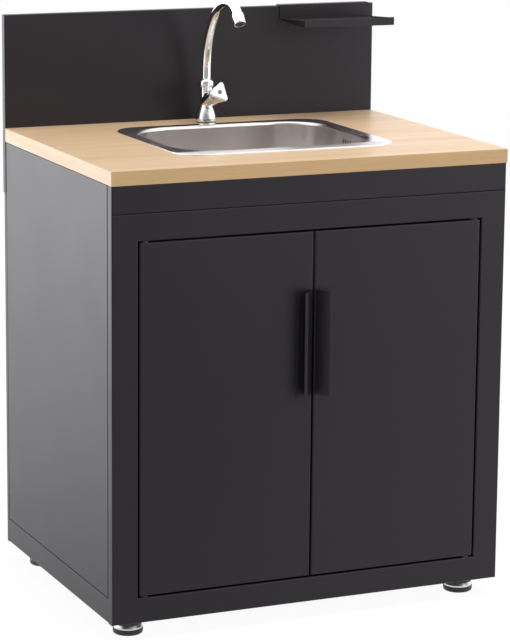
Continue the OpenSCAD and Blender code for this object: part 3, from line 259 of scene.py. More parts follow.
def wood_decor(name, finish):
    """Printed wood decor: fine straight grain along the board and round its ends."""
    material, tree, shader = start_material(name, **{"Metallic": 0.0, "IOR": 1.5})
    place = object_coordinates(tree)
    parts = add(tree, "ShaderNodeSeparateXYZ", {"Vector": place})
    turned = add(tree, "ShaderNodeCombineXYZ", {
        "X": parts.outputs["Y"], "Y": parts.outputs["X"], "Z": parts.outputs["Z"]}).outputs["Vector"]
    facing = add(tree, "ShaderNodeSeparateXYZ", {
        "Vector": add(tree, "ShaderNodeNewGeometry").outputs["True Normal"]})

    def faces(axis):
        """1 where the surface faces along an axis, 0 elsewhere."""
        share = add(tree, "ShaderNodeMath", {0: facing.outputs[axis]}, operation="ABSOLUTE").outputs[0]
        return add(tree, "ShaderNodeMath", {0: share, 1: 0.8}, operation="GREATER_THAN").outputs[0]

    at_end = faces("X")
    along = blend_colours(tree, at_end, place, turned)
    waver = add(tree, "ShaderNodeTexNoise", {"Vector": stretched(tree, along, (1.4, 5.0, 5.0)),
                                            "Scale": 1.0, "Detail": 2.0}).outputs["Color"]
    bent = add(tree, "ShaderNodeVectorMath", {
        0: along, 1: add(tree, "ShaderNodeVectorMath", {0: waver, 1: (0.0, 0.02, 0.02)},
                         operation="MULTIPLY").outputs[0]}, operation="ADD").outputs[0]
    streaks = noise(tree, stretched(tree, bent, (2.2, 60.0, 60.0)), 1.0, 5.0, 0.55)
    bands = noise(tree, stretched(tree, bent, (0.9, 11.0, 11.0)), 1.0, 3.0)
    pores = noise(tree, stretched(tree, bent, (26.0, 900.0, 900.0)), 1.0, 2.0)
    tone = blend_colours(tree, 0.45, spread(tree, streaks, 0.0, 1.0), spread(tree, bands, 0.0, 1.0))
    colour = blend_colours(tree, tone, (*finish.wood_light, 1.0), (*finish.wood_dark, 1.0))
    colour = blend_colours(tree, spread(tree, pores, 0.0, 0.22, 0.56, 0.72), colour,
                           shade(finish.wood_dark, 0.62))
    # Painted shade on the faces along Y, the worktop's front and back edges
    colour = blend_colours(tree, faces("Y"), colour, PAINTED_EDGE_SHADE, "MULTIPLY")
    tree.links.new(colour, shader.inputs["Base Color"])
    matt = spread(tree, streaks, finish.wood_roughness - 0.05, finish.wood_roughness + 0.05)
    tree.links.new(matt, shader.inputs["Roughness"])
    tree.links.new(bump(tree, pores, 0.18, 0.00015), shader.inputs["Normal"])
    return material


def brushed_steel(name, colour, roughness, brushing, ledge=None):
    """Stainless steel brushed round its vertical axis, with the faint streaks of the brush.

    A ledge is the stretch along Y over which the pressed flange falls gently to the front."""
    material, tree, shader = start_material(name, **{"Metallic": 1.0, "Anisotropic": brushing})
    place = object_coordinates(tree)
    lines = noise(tree, stretched(tree, place, (14.0, 14.0, 1500.0)), 1.0, 3.0)
    flat_lines = noise(tree, stretched(tree, place, (12.0, 1500.0, 12.0)), 1.0, 3.0)
    marks = blend_colours(tree, 0.5, lines, flat_lines)
    smudges = noise(tree, place, 9.0, 3.0, 0.5)
    tint = blend_colours(tree, spread(tree, smudges, 0.0, 1.0), shade(colour, 0.98), shade(colour, 1.02))
    tree.links.new(tint, shader.inputs["Base Color"])
    matt = add(tree, "ShaderNodeMath", {
        0: spread(tree, marks, roughness - 0.03, roughness + 0.03),
        1: spread(tree, smudges, -0.01, 0.012)}, operation="ADD").outputs[0]
    tree.links.new(matt, shader.inputs["Roughness"])
    crown = None
    if ledge is not None:
        parts = add(tree, "ShaderNodeSeparateXYZ", {"Vector": place})
        rise = add(tree, "ShaderNodeMapRange", {
            "Value": parts.outputs["Y"], "From Min": ledge[0], "From Max": ledge[1],
            "To Min": 0.0, "To Max": (ledge[1] - ledge[0]) * math.tan(LEDGE_FALL)}).outputs["Result"]
        crown = bump(tree, rise, 1.0, 1.0)
    tree.links.new(bump(tree, marks, 0.02, 0.0001, crown), shader.inputs["Normal"])
    return material


def chrome(name, colour):
    """Bright chrome plating, with the slight waviness of the polished metal under it."""
    material, tree, shader = start_material(name, **{"Metallic": 1.0})
    place = object_coordinates(tree)
    waves = noise(tree, place, 55.0, 1.0)
    film = noise(tree, place, 240.0, 4.0, 0.65)
    tree.links.new(blend_colours(tree, film, shade(colour, 0.97), shade(colour, 1.02)),
                   shader.inputs["Base Color"])
    tree.links.new(spread(tree, film, 0.03, 0.085), shader.inputs["Roughness"])
    tree.links.new(bump(tree, waves, 0.10, 0.0005), shader.inputs["Normal"])
    return material


def zinc_plate(name):
    """Zinc plating: pale grey metal with small crystals."""
    material, tree, shader = start_material(name, **{"Metallic": 1.0})
    place = object_coordinates(tree)
    crystals = add(tree, "ShaderNodeTexVoronoi", {"Vector": place, "Scale": 700.0}).outputs["Color"]
    tone = add(tree, "ShaderNodeSeparateColor", {"Color": crystals}).outputs[0]
    tree.links.new(blend_colours(tree, tone, (0.50, 0.51, 0.53, 1), (0.68, 0.69, 0.70, 1)),
                   shader.inputs["Base Color"])
    tree.links.new(spread(tree, tone, 0.28, 0.44, 0.0, 1.0), shader.inputs["Roughness"])
    tree.links.new(bump(tree, noise(tree, place, 900.0), 0.15, 0.0001), shader.inputs["Normal"])
    return material


def moulded_plastic(name, colour, roughness, grain=1500.0):
    """Moulded plastic with a fine even grain and a slight change of tone."""
    material, tree, shader = start_material(name, **{"Metallic": 0.0, "IOR": 1.49})
    place = object_coordinates(tree)
    tone = spread(tree, noise(tree, place, 22.0, 3.0), 0.0, 1.0)
    tree.links.new(blend_colours(tree, tone, shade(colour, 0.93), shade(colour, 1.06)),
                   shader.inputs["Base Color"])
    fine = noise(tree, place, grain, 2.0)
    tree.links.new(spread(tree, fine, roughness - 0.05, roughness + 0.06), shader.inputs["Roughness"])
    tree.links.new(bump(tree, fine, 0.16, 0.0002), shader.inputs["Normal"])
    return material


def rubber(name):
    """Black rubber, dusty where its grain stands up."""
    material, tree, shader = start_material(name, **{"Metallic": 0.0, "IOR": 1.52, "Specular IOR Level": 0.3})
    place = object_coordinates(tree)
    dust = noise(tree, place, 60.0, 5.0, 0.7)
    tree.links.new(blend_colours(tree, spread(tree, dust, 0.0, 1.0, 0.45, 0.75),
                                 (0.016, 0.016, 0.017, 1), (0.042, 0.041, 0.04, 1)),
                   shader.inputs["Base Color"])
    tree.links.new(spread(tree, dust, 0.62, 0.85), shader.inputs["Roughness"])
    tree.links.new(bump(tree, noise(tree, place, 2200.0), 0.25, 0.0002), shader.inputs["Normal"])
    return material


def turned_brass(name):
    """Brass with fine turning marks round its vertical axis."""
    material, tree, shader = start_material(name, **{"Metallic": 1.0})
    place = object_coordinates(tree)
    marks = noise(tree, stretched(tree, place, (30.0, 30.0, 2600.0)), 1.0, 2.0)
    tarnish = noise(tree, place, 90.0, 4.0)
    tree.links.new(blend_colours(tree, spread(tree, tarnish, 0.0, 1.0), (0.76, 0.56, 0.27, 1),
                                 (0.60, 0.42, 0.20, 1)), shader.inputs["Base Color"])
    tree.links.new(spread(tree, marks, 0.22, 0.36), shader.inputs["Roughness"])
    tree.links.new(bump(tree, marks, 0.12, 0.0001), shader.inputs["Normal"])
    return material


def finish_nodes(material, *names):
    """Give CAD nodes a finish through their objects' material slots."""
    for name in names:
        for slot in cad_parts[name].material_slots:
            slot.material = material


# ---------------------------------------------------------------- mesh helpers

def finish_piece(bm, name, material, body, replaced=(), smooth_angle=35.0):
    """Turn a bmesh into a piece that rides on a body and stands for CAD nodes."""
    bmesh.ops.remove_doubles(bm, verts=bm.verts, dist=1e-6)
    bmesh.ops.recalc_face_normals(bm, faces=bm.faces)
    mesh = bpy.data.meshes.new(name)
    bm.to_mesh(mesh)
    bm.free()
    mesh.materials.append(material)
    piece = bpy.data.objects.new(name, mesh)
    bpy.context.scene.collection.objects.link(piece)
    mesh.shade_smooth()
    mesh.set_sharp_from_angle(angle=math.radians(smooth_angle))
    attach(piece, body)
    if replaced:
        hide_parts(*replaced)
    return piece


def lathe(bm, outline, steps=64):
    """Spin an outline of (radius, height) points all the way round the Z axis."""
    points = [bm.verts.new((radius, 0.0, height)) for radius, height in outline]
    edges = [bm.edges.new(pair) for pair in zip(points, points[1:])]
    bmesh.ops.spin(bm, geom=points + edges, cent=(0, 0, 0), axis=(0, 0, 1), dvec=(0, 0, 0),
                   angle=2 * math.pi, steps=steps, use_merge=True, use_duplicate=False)
    bmesh.ops.remove_doubles(bm, verts=bm.verts, dist=1e-6)


def ring_loft(bm, rings, segments=96):
    """Extrude a circle from ring to ring along Z and close both ends.

    Each ring is (height, reach), where reach gives the radius at an angle."""
    made = bmesh.ops.create_circle(bm, cap_ends=False, radius=1.0, segments=segments)
    ring = made["verts"]
    edges = first = list({edge for vert in ring for edge in vert.link_edges})
    for number, (height, reach) in enumerate(rings):
        if number:
            grown = bmesh.ops.extrude_edge_only(bm, edges=edges)["geom"]
            ring = of_type(grown, bmesh.types.BMVert)
            placed = set(ring)
            edges = [edge for edge in of_type(grown, bmesh.types.BMEdge) if placed.issuperset(edge.verts)]
        for vert in ring:
            angle = math.atan2(vert.co.y, vert.co.x)
            vert.co = (reach(angle) * math.cos(angle), reach(angle) * math.sin(angle), height)
    bmesh.ops.edgeloop_fill(bm, edges=first)
    bmesh.ops.edgeloop_fill(bm, edges=edges)


def three_cornered(angle, tip, rounding):
    """Radius of a triangle with round corners, one of them at angle 0."""
    turned = (angle + math.pi / 3) % (2 * math.pi / 3) - math.pi / 3
    centre = tip - rounding
    if abs(turned) < math.atan2(rounding * math.sin(math.pi / 3), centre + rounding / 2):
        across = centre * math.sin(turned)
        return centre * math.cos(turned) + math.sqrt(rounding ** 2 - across ** 2)
    return (centre / 2 + rounding) / math.cos(math.pi / 3 - abs(turned))


def cross_recess(angle, size):
    """Radius of the cross that a screwdriver fits."""
    turned = (angle + math.pi / 4) % (math.pi / 2) - math.pi / 4
    return min(size, 0.28 * size / max(abs(math.sin(turned)), 1e-6))


def head_axis():
    """Where the headwork's axis starts and how it leans: from the tap's axis up to the front."""
    return (Matrix.Translation((TAP_X, TAP_Y, HEAD_Z))
            @ Matrix.Rotation(math.radians(90 - HEAD_TILT), 4, "X"))


def neck_joints():
    """Where each bend of the neck starts and the last one ends: Y, Z and the lean from upright."""
    y, z, lean = TAP_Y, NECK_START, 0.0
    joints = [(y, z, lean)]
    for radius, angle in NECK_BENDS:
        turned = lean + math.radians(angle)
        y -= radius * (math.cos(lean) - math.cos(turned))
        z += radius * (math.sin(turned) - math.sin(lean))
        lean = turned
        joints.append((y, z, lean))
    return joints


def neck_end_axis():
    """The end of the neck's tube, with Z along the tube and out of it."""
    y, z, lean = neck_joints()[-1]
    return (Matrix.Translation((TAP_X, y, z)) @ Matrix.Rotation(lean, 4, "X")
            @ Matrix.Translation((0, 0, NECK_TAIL)))


def put(bm, matrix):
    bmesh.ops.transform(bm, matrix=matrix, verts=bm.verts)


def of_type(geometry, kind):
    return [item for item in geometry if isinstance(item, kind)]


def millimetres(outline):
    return [(radius / 1000, height / 1000) for radius, height in outline]


# ---------------------------------------------------------------- pieces

class CabinetPanels(bpy.types.Operator):
    """Coat the folded steel panels, doors, handles, splashback and shelf"""
    bl_idname = "sink_cabinet.panels"
    bl_label = "Steel Panels"

    def execute(self, context):
        coat = powder_coat("charcoal_powder_coat", context.scene.cabinet_finish)
        finish_nodes(coat, "fascia", "front_frame", "base_tray", "left_side", "right_side", "back_panel",
                     "back_rail", "splashback", "shelf", "left_door", "left_door_liner", "left_handle",
                     "left_handle_rivets", "right_door", "right_door_liner", "right_handle",
                     "right_handle_rivets")
        return {"FINISHED"}


class CabinetWorktop(bpy.types.Operator):
    """Give the worktop its wood decor"""
    bl_idname = "sink_cabinet.worktop"
    bl_label = "Worktop"

    def execute(self, context):
        finish_nodes(wood_decor("wood_decor", context.scene.cabinet_finish), "worktop")
        return {"FINISHED"}


class CabinetSink(bpy.types.Operator):
    """Brush the bowl and the waste, seal them with rubber, and make the steel that the strainer wears"""
    bl_idname = "sink_cabinet.sink"
    bl_label = "Sink"

    def execute(self, context):
        finish = context.scene.sink_finish
        steel = brushed_steel("brushed_stainless", finish.steel_colour, finish.steel_roughness,
                              finish.brushing)
        finish_nodes(steel, "waste_body")
        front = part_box("sink_bowl")[0].y
        pressed = brushed_steel("pressed_stainless", finish.steel_colour, finish.steel_roughness,
                                finish.brushing, (front, front + LEDGE_DEPTH))
        finish_nodes(pressed, "sink_bowl")
        finish_nodes(rubber("seal_rubber"), "sink_seal", "waste_gasket", "tap_gasket")
        return {"FINISHED"}


class CabinetStrainer(bpy.types.Operator):
    """Press and pierce the strainer basket, and put its knob on"""
    bl_idname = "sink_cabinet.strainer"
    bl_label = "Strainer Basket"

    def execute(self, context):
        low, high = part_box("strainer_basket")
        rim, floor = high.z - 0.005, low.z
        sieve = [(0.0055 + 0.0043 * step, floor + 0.0004) for step in range(7)]
        bm = bmesh.new()
        lathe(bm, sieve, 36)
        holes = bm.faces[:]
        bmesh.ops.inset_individual(bm, faces=holes, thickness=0.0008, use_even_offset=True)
        bmesh.ops.delete(bm, geom=holes, context="FACES_ONLY")
        bmesh.ops.recalc_face_normals(bm, faces=bm.faces)
        bmesh.ops.solidify(bm, geom=bm.faces[:], thickness=0.0008)
        lathe(bm, [(0.0300, floor), (0.0315, floor + 0.0006), (0.0330, floor + 0.0022), (0.0390, rim - 0.006),
                   (0.0393, rim - 0.0012), (0.0404, rim + 0.0001), (0.0428, rim + 0.0001),
                   (0.0434, rim + 0.0005), (0.0430, rim + 0.0009), (0.0402, rim + 0.0009),
                   (0.0385, rim - 0.0008), (0.0382, rim - 0.006), (0.0322, floor + 0.0026),
                   (0.0308, floor + 0.0014), (0.0300, floor + 0.0012), (0.0300, floor)], 96)
        lathe(bm, [(0.0, floor + 0.0001), (0.0066, floor + 0.0001), (0.0066, floor + 0.0014),
                   (0.0035, floor + 0.0022), (0.0032, rim - 0.004), (0.0040, rim - 0.0012),
                   (0.0064, rim + 0.0004), (0.0076, rim + 0.0022), (0.0079, rim + 0.0036),
                   (0.0070, rim + 0.0046), (0.0052, rim + 0.0049), (0.0046, rim + 0.0044),
                   (0.0, rim + 0.0040)], 48)
        put(bm, Matrix.Translation(((low.x + high.x) / 2, (low.y + high.y) / 2, 0.0)))
        finish_piece(bm, "pierced_basket", bpy.data.materials["brushed_stainless"], "strainer",
                     ["strainer_basket"])
        return {"FINISHED"}


class CabinetPlumbing(bpy.types.Operator):
    """Finish the trap, the overflow and the nuts under the worktop"""
    bl_idname = "sink_cabinet.plumbing"
    bl_label = "Trap and Overflow"

    def execute(self, context):
        white = moulded_plastic("white_polypropylene", (0.80, 0.80, 0.77), 0.34)
        finish_nodes(white, "waste_ring", "trap_nut", "trap_body", "trap_cup", "outlet_nut", "outlet_pipe")
        black = moulded_plastic("black_moulding", (0.022, 0.022, 0.024), 0.46)
        finish_nodes(black, "overflow_elbow", "overflow_pipe", "magnet_catches", "left_door_bushes",
                     "right_door_bushes")
        return {"FINISHED"}


class CabinetHardware(bpy.types.Operator):
    """Plate the pins, clips, strikes, nuts and screws"""
    bl_idname = "sink_cabinet.hardware"
    bl_label = "Hardware"

    def execute(self, context):
        finish_nodes(zinc_plate("zinc_plate"), "left_strike", "right_strike", "door_pins", "sink_clips",
                     "foot_nuts", "worktop_screws")
        return {"FINISHED"}


class CabinetRearScrews(bpy.types.Operator):
    """Put cross-recessed pan heads on the screws of the back panel and the splashback"""
    bl_idname = "sink_cabinet.rear_screws"
    bl_label = "Rear Screws"

    def execute(self, context):
        bm = bmesh.new()
        back = [((side * BACK_SCREW_X, BACK_SCREW_Y, z), (0, 1, 0))
                for side in (-1, 1) for z in BACK_SCREW_HEIGHTS]
        splash = [((x, SPLASH_SCREW_Y, SPLASH_SCREW_Z), (0, -1, 0)) for x in SPLASH_SCREW_XS]
        for centre, direction in back + splash:
            single = bmesh.new()
            ring_loft(single, [
                (0.0040, lambda angle: 0.0016), (0.0036, lambda angle: 0.002),
                (0.0, lambda angle: 0.002), (0.0, lambda angle: 0.0038), (-0.0003, lambda angle: 0.004),
                (-0.0010, lambda angle: 0.0039), (-0.0018, lambda angle: 0.0034),
                (-0.0023, lambda angle: 0.0024), (-0.0024, lambda angle: cross_recess(angle, 0.0019)),
                (-0.0010, lambda angle: cross_recess(angle, 0.0013))], 32)
            put(single, Matrix.Translation(centre)
                @ Vector(direction).to_track_quat("Z", "Y").to_matrix().to_4x4())
            part = bpy.data.meshes.new("single_screw")
            single.to_mesh(part)
            single.free()
            bm.from_mesh(part)
            bpy.data.meshes.remove(part)
        finish_piece(bm, "cross_head_screws", bpy.data.materials["zinc_plate"], "cabinet",
                     ["rear_screws"])
        return {"FINISHED"}


class CabinetFeet(bpy.types.Operator):
    """Finish the levelling feet"""
    bl_idname = "sink_cabinet.feet"
    bl_label = "Levelling Feet"

    def execute(self, context):
        pads = moulded_plastic("foot_plastic", (0.018, 0.018, 0.019), 0.42, 900.0)
        stems = brushed_steel("foot_steel", (0.66, 0.66, 0.67), 0.24, 0.0)
        for side in ("front_left", "front_right", "back_left", "back_right"):
            finish_nodes(pads, side + "_pad")
            finish_nodes(stems, side + "_stem")
        finish_nodes(pads, "foot_collars")
        return {"FINISHED"}


class CabinetTapBody(bpy.types.Operator):
    """Plate the tap's body and nuts"""
    bl_idname = "sink_cabinet.tap_body"
    bl_label = "Tap Body"

    def execute(self, context):
        plate = chrome("bright_chrome", context.scene.tap_sizes.chrome_colour)
        finish_nodes(plate, "tap_body", "tap_headwork")
        finish_nodes(turned_brass("turned_brass"), "tap_spindle", "tap_back_nut")
        return {"FINISHED"}


class CabinetUnionNut(bpy.types.Operator):
    """Turn the union nut with its rounded shoulder"""
    bl_idname = "sink_cabinet.union_nut"
    bl_label = "Union Nut"

    def execute(self, context):
        bm = bmesh.new()
        lathe(bm, millimetres([
            (12.8, 2.6), (14.6, 2.6), (15.3, 3.2), (15.7, 4.4), (15.95, 6.2), (15.95, 12.6), (15.8, 14.2),
            (15.2, 15.8), (14.2, 17.1), (12.8, 18.1), (11.3, 18.8), (10.5, 19.4), (10.3, 20.6),
            (10.0, 20.9), (9.7, 20.9), (9.7, 17.9), (12.8, 17.0), (12.8, 2.6)]))
        put(bm, Matrix.Translation((TAP_X, TAP_Y, tap_low.z)))
        finish_piece(bm, "shouldered_nut", bpy.data.materials["bright_chrome"], "cabinet",
                     ["union_nut"])
        return {"FINISHED"}


class CabinetTapHandle(bpy.types.Operator):
    """Form the three-cornered handle and its coloured cap"""
    bl_idname = "sink_cabinet.tap_handle"
    bl_label = "Tap Handle"

    def execute(self, context):
        sizes = context.scene.tap_sizes
        back = HEAD_REACH - HANDLE_LENGTH

        def level(height, share, shrink=0.0):
            """A ring that is round at share 0 and three-cornered at share 1."""
            return height, lambda angle: ((1 - share) * 0.0145 - shrink + share * three_cornered(
                angle, sizes.handle_radius, 0.0052))

        def bore(height, radius=0.0095):
            return height, lambda angle: radius

        bm = bmesh.new()
        ring_loft(bm, [
            bore(back + 0.0085), bore(back), bore(back, 0.0152), level(back + 0.0006, 0.0, -0.0014),
            level(back + 0.004, 0.0, -0.0015), level(back + 0.010, 0.04, -0.0012),
            level(back + 0.018, 0.24, -0.0005),
            level(back + 0.026, 0.48), level(back + 0.036, 0.72), level(back + 0.045, 0.93),
            level(back + 0.0495, 1.0), level(back + 0.0518, 1.0, 0.0003), level(back + 0.0530, 1.0, 0.0009),
            level(back + 0.0537, 1.0, 0.0018), level(back + 0.0540, 1.0, 0.0030),
            level(back + 0.0538, 0.75, 0.0050), bore(back + 0.0535, 0.0062), bore(back + 0.0535, 0.0048),
            bore(back + 0.0530, 0.0046)])
        put(bm, head_axis() @ Matrix.Rotation(sizes.handle_turn, 4, "Z"))
        finish_piece(bm, "three_cornered_handle", bpy.data.materials["bright_chrome"], "tap_handle",
                     ["tap_handle"], 28.0)

        bm = bmesh.new()
        lathe(bm, millimetres([
            (0.0, -0.7), (4.1, -0.7), (4.1, -0.1), (3.9, 0.2), (3.2, 0.45), (1.9, 0.6), (0.0, 0.65)]), 48)
        put(bm, head_axis() @ Matrix.Translation((0, 0, HEAD_REACH)))
        cap = moulded_plastic("cap_plastic", (0.19, 0.175, 0.24), 0.25, 300.0)
        finish_piece(bm, "domed_cap", cap, "tap_handle", ["tap_cap"])
        return {"FINISHED"}


class CabinetTapNeck(bpy.types.Operator):
    """Bend the swan neck out of one round tube"""
    bl_idname = "sink_cabinet.tap_neck"
    bl_label = "Swan Neck"

    def execute(self, context):
        sizes = context.scene.tap_sizes
        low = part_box("spout")[0].z
        bm = bmesh.new()
        circle = bmesh.ops.create_circle(
            bm, cap_ends=True, radius=sizes.tube_diameter / 2, segments=sizes.tube_sides,
            matrix=Matrix.Translation((TAP_X, TAP_Y, low)))
        risen = bmesh.ops.extrude_face_region(bm, geom=bm.faces[:], use_keep_orig=True)["geom"]
        bmesh.ops.translate(bm, verts=of_type(risen, bmesh.types.BMVert), vec=(0, 0, NECK_START - low))
        end = of_type(risen, bmesh.types.BMFace)
        joints = neck_joints()
        for (y, z, lean), (radius, angle) in zip(joints, NECK_BENDS):
            centre = (TAP_X, y - radius * math.cos(lean), z - radius * math.sin(lean))
            bent = bmesh.ops.spin(bm, geom=end, cent=centre, axis=(1, 0, 0), dvec=(0, 0, 0),
                                  angle=math.radians(angle), steps=int(angle / NECK_STEP), use_merge=False,
                                  use_duplicate=False)["geom_last"]
            end = of_type(bent, bmesh.types.BMFace)
        lean = joints[-1][2]
        straight = bmesh.ops.extrude_face_region(bm, geom=end)["geom"]
        bmesh.ops.translate(bm, verts=of_type(straight, bmesh.types.BMVert),
                            vec=(0, -NECK_TAIL * math.sin(lean), NECK_TAIL * math.cos(lean)))
        plate = bpy.data.materials["bright_chrome"]
        finish_piece(bm, "swan_neck", plate, "spout", ["spout"])
        return {"FINISHED"}


class CabinetAerator(bpy.types.Operator):
    """Turn the aerator's sleeve and set its screen in it"""
    bl_idname = "sink_cabinet.aerator"
    bl_label = "Aerator"

    def execute(self, context):
        outer = context.scene.tap_sizes.aerator_diameter * 500
        bm = bmesh.new()
        lathe(bm, millimetres([
            (9.55, -5.0), (outer - 1.3, -5.0), (outer - 0.6, -4.5), (outer - 0.5, -0.6), (outer - 0.1, 0.0),
            (outer, 0.4), (outer, 5.0), (outer - 0.35, 5.2), (outer - 0.35, 5.7), (outer, 5.9),
            (outer, 16.9), (outer - 0.2, 17.5), (outer - 0.6, 17.9), (outer - 1.0, 18.0),
            (outer - 1.3, 17.7), (outer - 1.4, 16.5), (outer - 2.7, 15.5), (outer - 2.7, 1.0), (9.55, 1.0),
            (9.55, -5.0)]))
        put(bm, neck_end_axis())
        finish_piece(bm, "aerator_sleeve", bpy.data.materials["bright_chrome"], "spout",
                     ["aerator"])

        bm = bmesh.new()
        reach = (outer - 1.45) / 1000
        rings = [(reach * share, 0.0177 - 0.0004 * (step % 2)) for step, share in enumerate(
            (0.0, 0.12, 0.16, 0.28, 0.32, 0.44, 0.48, 0.60, 0.64, 0.76, 0.80, 0.92, 1.0))]
        lathe(bm, rings + [(reach, 0.0167), (0.0, 0.0160)], 48)
        put(bm, neck_end_axis())
        screen = moulded_plastic("aerator_screen", (0.035, 0.034, 0.037), 0.4, 800.0)
        finish_piece(bm, "aerator_screen", screen, "spout")
        return {"FINISHED"}


class CabinetStage(bpy.types.Operator):
    """Lay the pale floor, hang the soft lamps and set the camera"""
    bl_idname = "sink_cabinet.stage"
    bl_label = "Studio"

    def execute(self, context):
        studio = context.scene.studio_settings
        bm = bmesh.new()
        bmesh.ops.create_grid(bm, x_segments=1, y_segments=1, size=studio.floor_size / 2)
        mesh = bpy.data.meshes.new("studio_floor")
        bm.to_mesh(mesh)
        bm.free()
        floor = bpy.data.objects.new("studio_floor", mesh)
        context.scene.collection.objects.link(floor)
        mesh.materials.append(floor_paint(studio))

        light_world(context.scene)
        soft_lamp(context, "lamp_left_back", (-2.9, 2.6, 0.7), (-0.41, 0.0, 0.45), (3.2, 2.6), 90.0)
        soft_lamp(context, "lamp_above", (0.6, -0.6, 3.6), (0.0, 0.0, 0.6), (3.0, 3.0), 74.0,
                  mirrored=False)
        soft_lamp(context, "lamp_front_right", (3.0, -3.6, 1.8), (0.1, 0.0, 0.6), (1.6, 2.4), 28.0)

        lens = bpy.data.cameras.new("photo_camera")
        lens.lens = studio.focal_length
        lens.sensor_width = 36.0
        lens.shift_y = -0.05
        lens.clip_end = 200.0
        camera = bpy.data.objects.new("photo_camera", lens)
        camera.location = (-2.15147, -4.88688, 1.67458)
        camera.rotation_euler = (math.radians(78.61092), math.radians(-0.49068), math.radians(-23.74916))
        context.scene.collection.objects.link(camera)
        context.scene.camera = camera
        context.scene.view_settings.view_transform = "Standard"
        return {"FINISHED"}


def floor_paint(studio):
    """Pale floor that looks white to the camera, and to bright metal darker to the front."""
    material, tree, shader = start_material("pale_floor", **{"Roughness": 0.9, "Specular IOR Level": 0.0})
    place = object_coordinates(tree)
    tone = noise(tree, place, 0.7, 2.0)
    tree.links.new(blend_colours(tree, tone, shade(studio.floor_colour, 0.985),
                                 (*studio.floor_colour, 1.0)), shader.inputs["Base Color"])
    seen = add(tree, "ShaderNodeLightPath")
    ahead = add(tree, "ShaderNodeVectorMath", {0: place, 1: FRONT}, operation="DOT_PRODUCT").outputs["Value"]
    aside = add(tree, "ShaderNodeVectorMath", {0: place, 1: SIDE}, operation="DOT_PRODUCT").outputs["Value"]
    aside = add(tree, "ShaderNodeMath", {0: aside}, operation="ABSOLUTE").outputs[0]
    ahead = add(tree, "ShaderNodeMath", {0: aside, 1: FLOOR_SPREAD, 2: ahead},
                operation="MULTIPLY_ADD").outputs[0]
    dim = add(tree, "ShaderNodeMapRange", {"Value": ahead, "From Min": -2.3, "From Max": 1.5,
                                           "To Min": 1.75, "To Max": 0.36}).outputs["Result"]
    dim = blend_colours(tree, seen.outputs["Is Glossy Ray"], (1, 1, 1, 1), dim)
    glow = add(tree, "ShaderNodeEmission", {"Color": dim, "Strength": FLOOR_GLOW})
    either = add(tree, "ShaderNodeMath", {0: seen.outputs["Is Camera Ray"],
                                          1: seen.outputs["Is Glossy Ray"]}, operation="MAXIMUM").outputs[0]
    share = add(tree, "ShaderNodeMath", {0: either, 1: FLOOR_GLOW_SHARE}, operation="MULTIPLY").outputs[0]
    mixed = add(tree, "ShaderNodeMixShader", {0: share, 1: shader.outputs["BSDF"],
                                              2: glow.outputs["Emission"]})
    output = next(n for n in tree.nodes if n.type == "OUTPUT_MATERIAL")
    tree.links.new(mixed.outputs[0], output.inputs["Surface"])
    return material


def light_world(scene):
    """Soft grey light all round, which the camera and bright metal see as white."""
    world = bpy.data.worlds.new("studio_world")
    world.use_nodes = True
    tree = world.node_tree
    tree.nodes.clear()
    seen = add(tree, "ShaderNodeLightPath")
    either = add(tree, "ShaderNodeMath", {0: seen.outputs["Is Camera Ray"],
                                          1: seen.outputs["Is Glossy Ray"]}, operation="MAXIMUM").outputs[0]
    either = add(tree, "ShaderNodeMath", {0: either, 1: seen.outputs["Is Transmission Ray"]},
                 operation="MAXIMUM").outputs[0]
    strength = add(tree, "ShaderNodeMapRange", {
        "Value": either, "To Min": WORLD_LIGHT, "To Max": 1.0}).outputs[0]
    ahead = add(tree, "ShaderNodeVectorMath", {
        0: add(tree, "ShaderNodeTexCoord").outputs["Generated"], 1: FRONT},
        operation="DOT_PRODUCT").outputs["Value"]
    dim = add(tree, "ShaderNodeMapRange", {"Value": ahead, "From Min": 0.6, "From Max": 0.92,
                                           "To Min": 1.35, "To Max": 0.32}).outputs["Result"]
    colour = blend_colours(tree, seen.outputs["Is Glossy Ray"], (1, 1, 1, 1), dim)
    sky = add(tree, "ShaderNodeBackground", {"Color": colour, "Strength": strength})
    output = add(tree, "ShaderNodeOutputWorld")
    tree.links.new(sky.outputs[0], output.inputs["Surface"])
    scene.world = world


def soft_lamp(context, name, place, target, size, power, mirrored=True):
    lamp = bpy.data.lights.new(name, "AREA")
    lamp.shape = "RECTANGLE"
    lamp.size, lamp.size_y = size
    lamp.energy = power
    holder = bpy.data.objects.new(name, lamp)
    holder.location = place
    holder.rotation_euler = (Vector(place) - Vector(target)).to_track_quat("Z", "Y").to_euler()
    holder.visible_camera = False
    holder.visible_glossy = mirrored
    context.scene.collection.objects.link(holder)


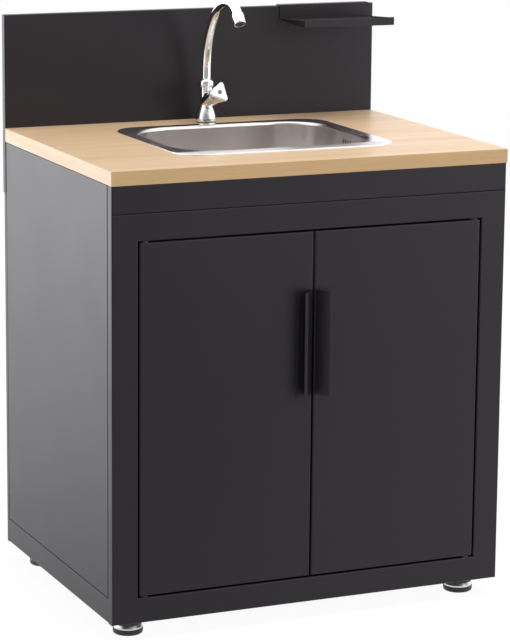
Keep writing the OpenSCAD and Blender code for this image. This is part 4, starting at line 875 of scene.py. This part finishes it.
class CabinetPanel(bpy.types.Panel):
    """The cabinet's pieces, in the order they are made"""
    bl_idname = "VIEW3D_PT_sink_cabinet"
    bl_label = "Sink Cabinet"
    bl_space_type = "VIEW_3D"
    bl_region_type = "UI"
    bl_category = "Sink Cabinet"

    def draw(self, context):
        column = self.layout.column()
        for operator in OPERATORS:
            column.operator(operator.bl_idname)
        for group in ("cabinet_finish", "sink_finish", "tap_sizes", "studio_settings"):
            settings = getattr(context.scene, group)
            for name in settings.__annotations__:
                column.prop(settings, name)


GROUPS = (CabinetFinish, SinkFinish, TapSizes, StudioSettings)
OPERATORS = (CabinetPanels, CabinetWorktop, CabinetSink, CabinetStrainer, CabinetPlumbing, CabinetHardware,
             CabinetRearScrews, CabinetFeet, CabinetTapBody, CabinetUnionNut, CabinetTapHandle,
             CabinetTapNeck, CabinetAerator, CabinetStage)


def register():
    for item in GROUPS + OPERATORS + (CabinetPanel,):
        bpy.utils.register_class(item)
    bpy.types.Scene.cabinet_finish = PointerProperty(type=CabinetFinish)
    bpy.types.Scene.sink_finish = PointerProperty(type=SinkFinish)
    bpy.types.Scene.tap_sizes = PointerProperty(type=TapSizes)
    bpy.types.Scene.studio_settings = PointerProperty(type=StudioSettings)


def unregister():
    for name in ("studio_settings", "tap_sizes", "sink_finish", "cabinet_finish"):
        delattr(bpy.types.Scene, name)
    for item in reversed(GROUPS + OPERATORS + (CabinetPanel,)):
        bpy.utils.unregister_class(item)


def main():
    register()
    bpy.ops.sink_cabinet.panels()
    bpy.ops.sink_cabinet.worktop()
    bpy.ops.sink_cabinet.sink()
    bpy.ops.sink_cabinet.strainer()
    bpy.ops.sink_cabinet.plumbing()
    bpy.ops.sink_cabinet.hardware()
    bpy.ops.sink_cabinet.rear_screws()
    bpy.ops.sink_cabinet.feet()
    bpy.ops.sink_cabinet.tap_body()
    bpy.ops.sink_cabinet.union_nut()
    bpy.ops.sink_cabinet.tap_handle()
    bpy.ops.sink_cabinet.tap_neck()
    bpy.ops.sink_cabinet.aerator()
    bpy.ops.sink_cabinet.stage()


if __name__ == "__main__":
    main()
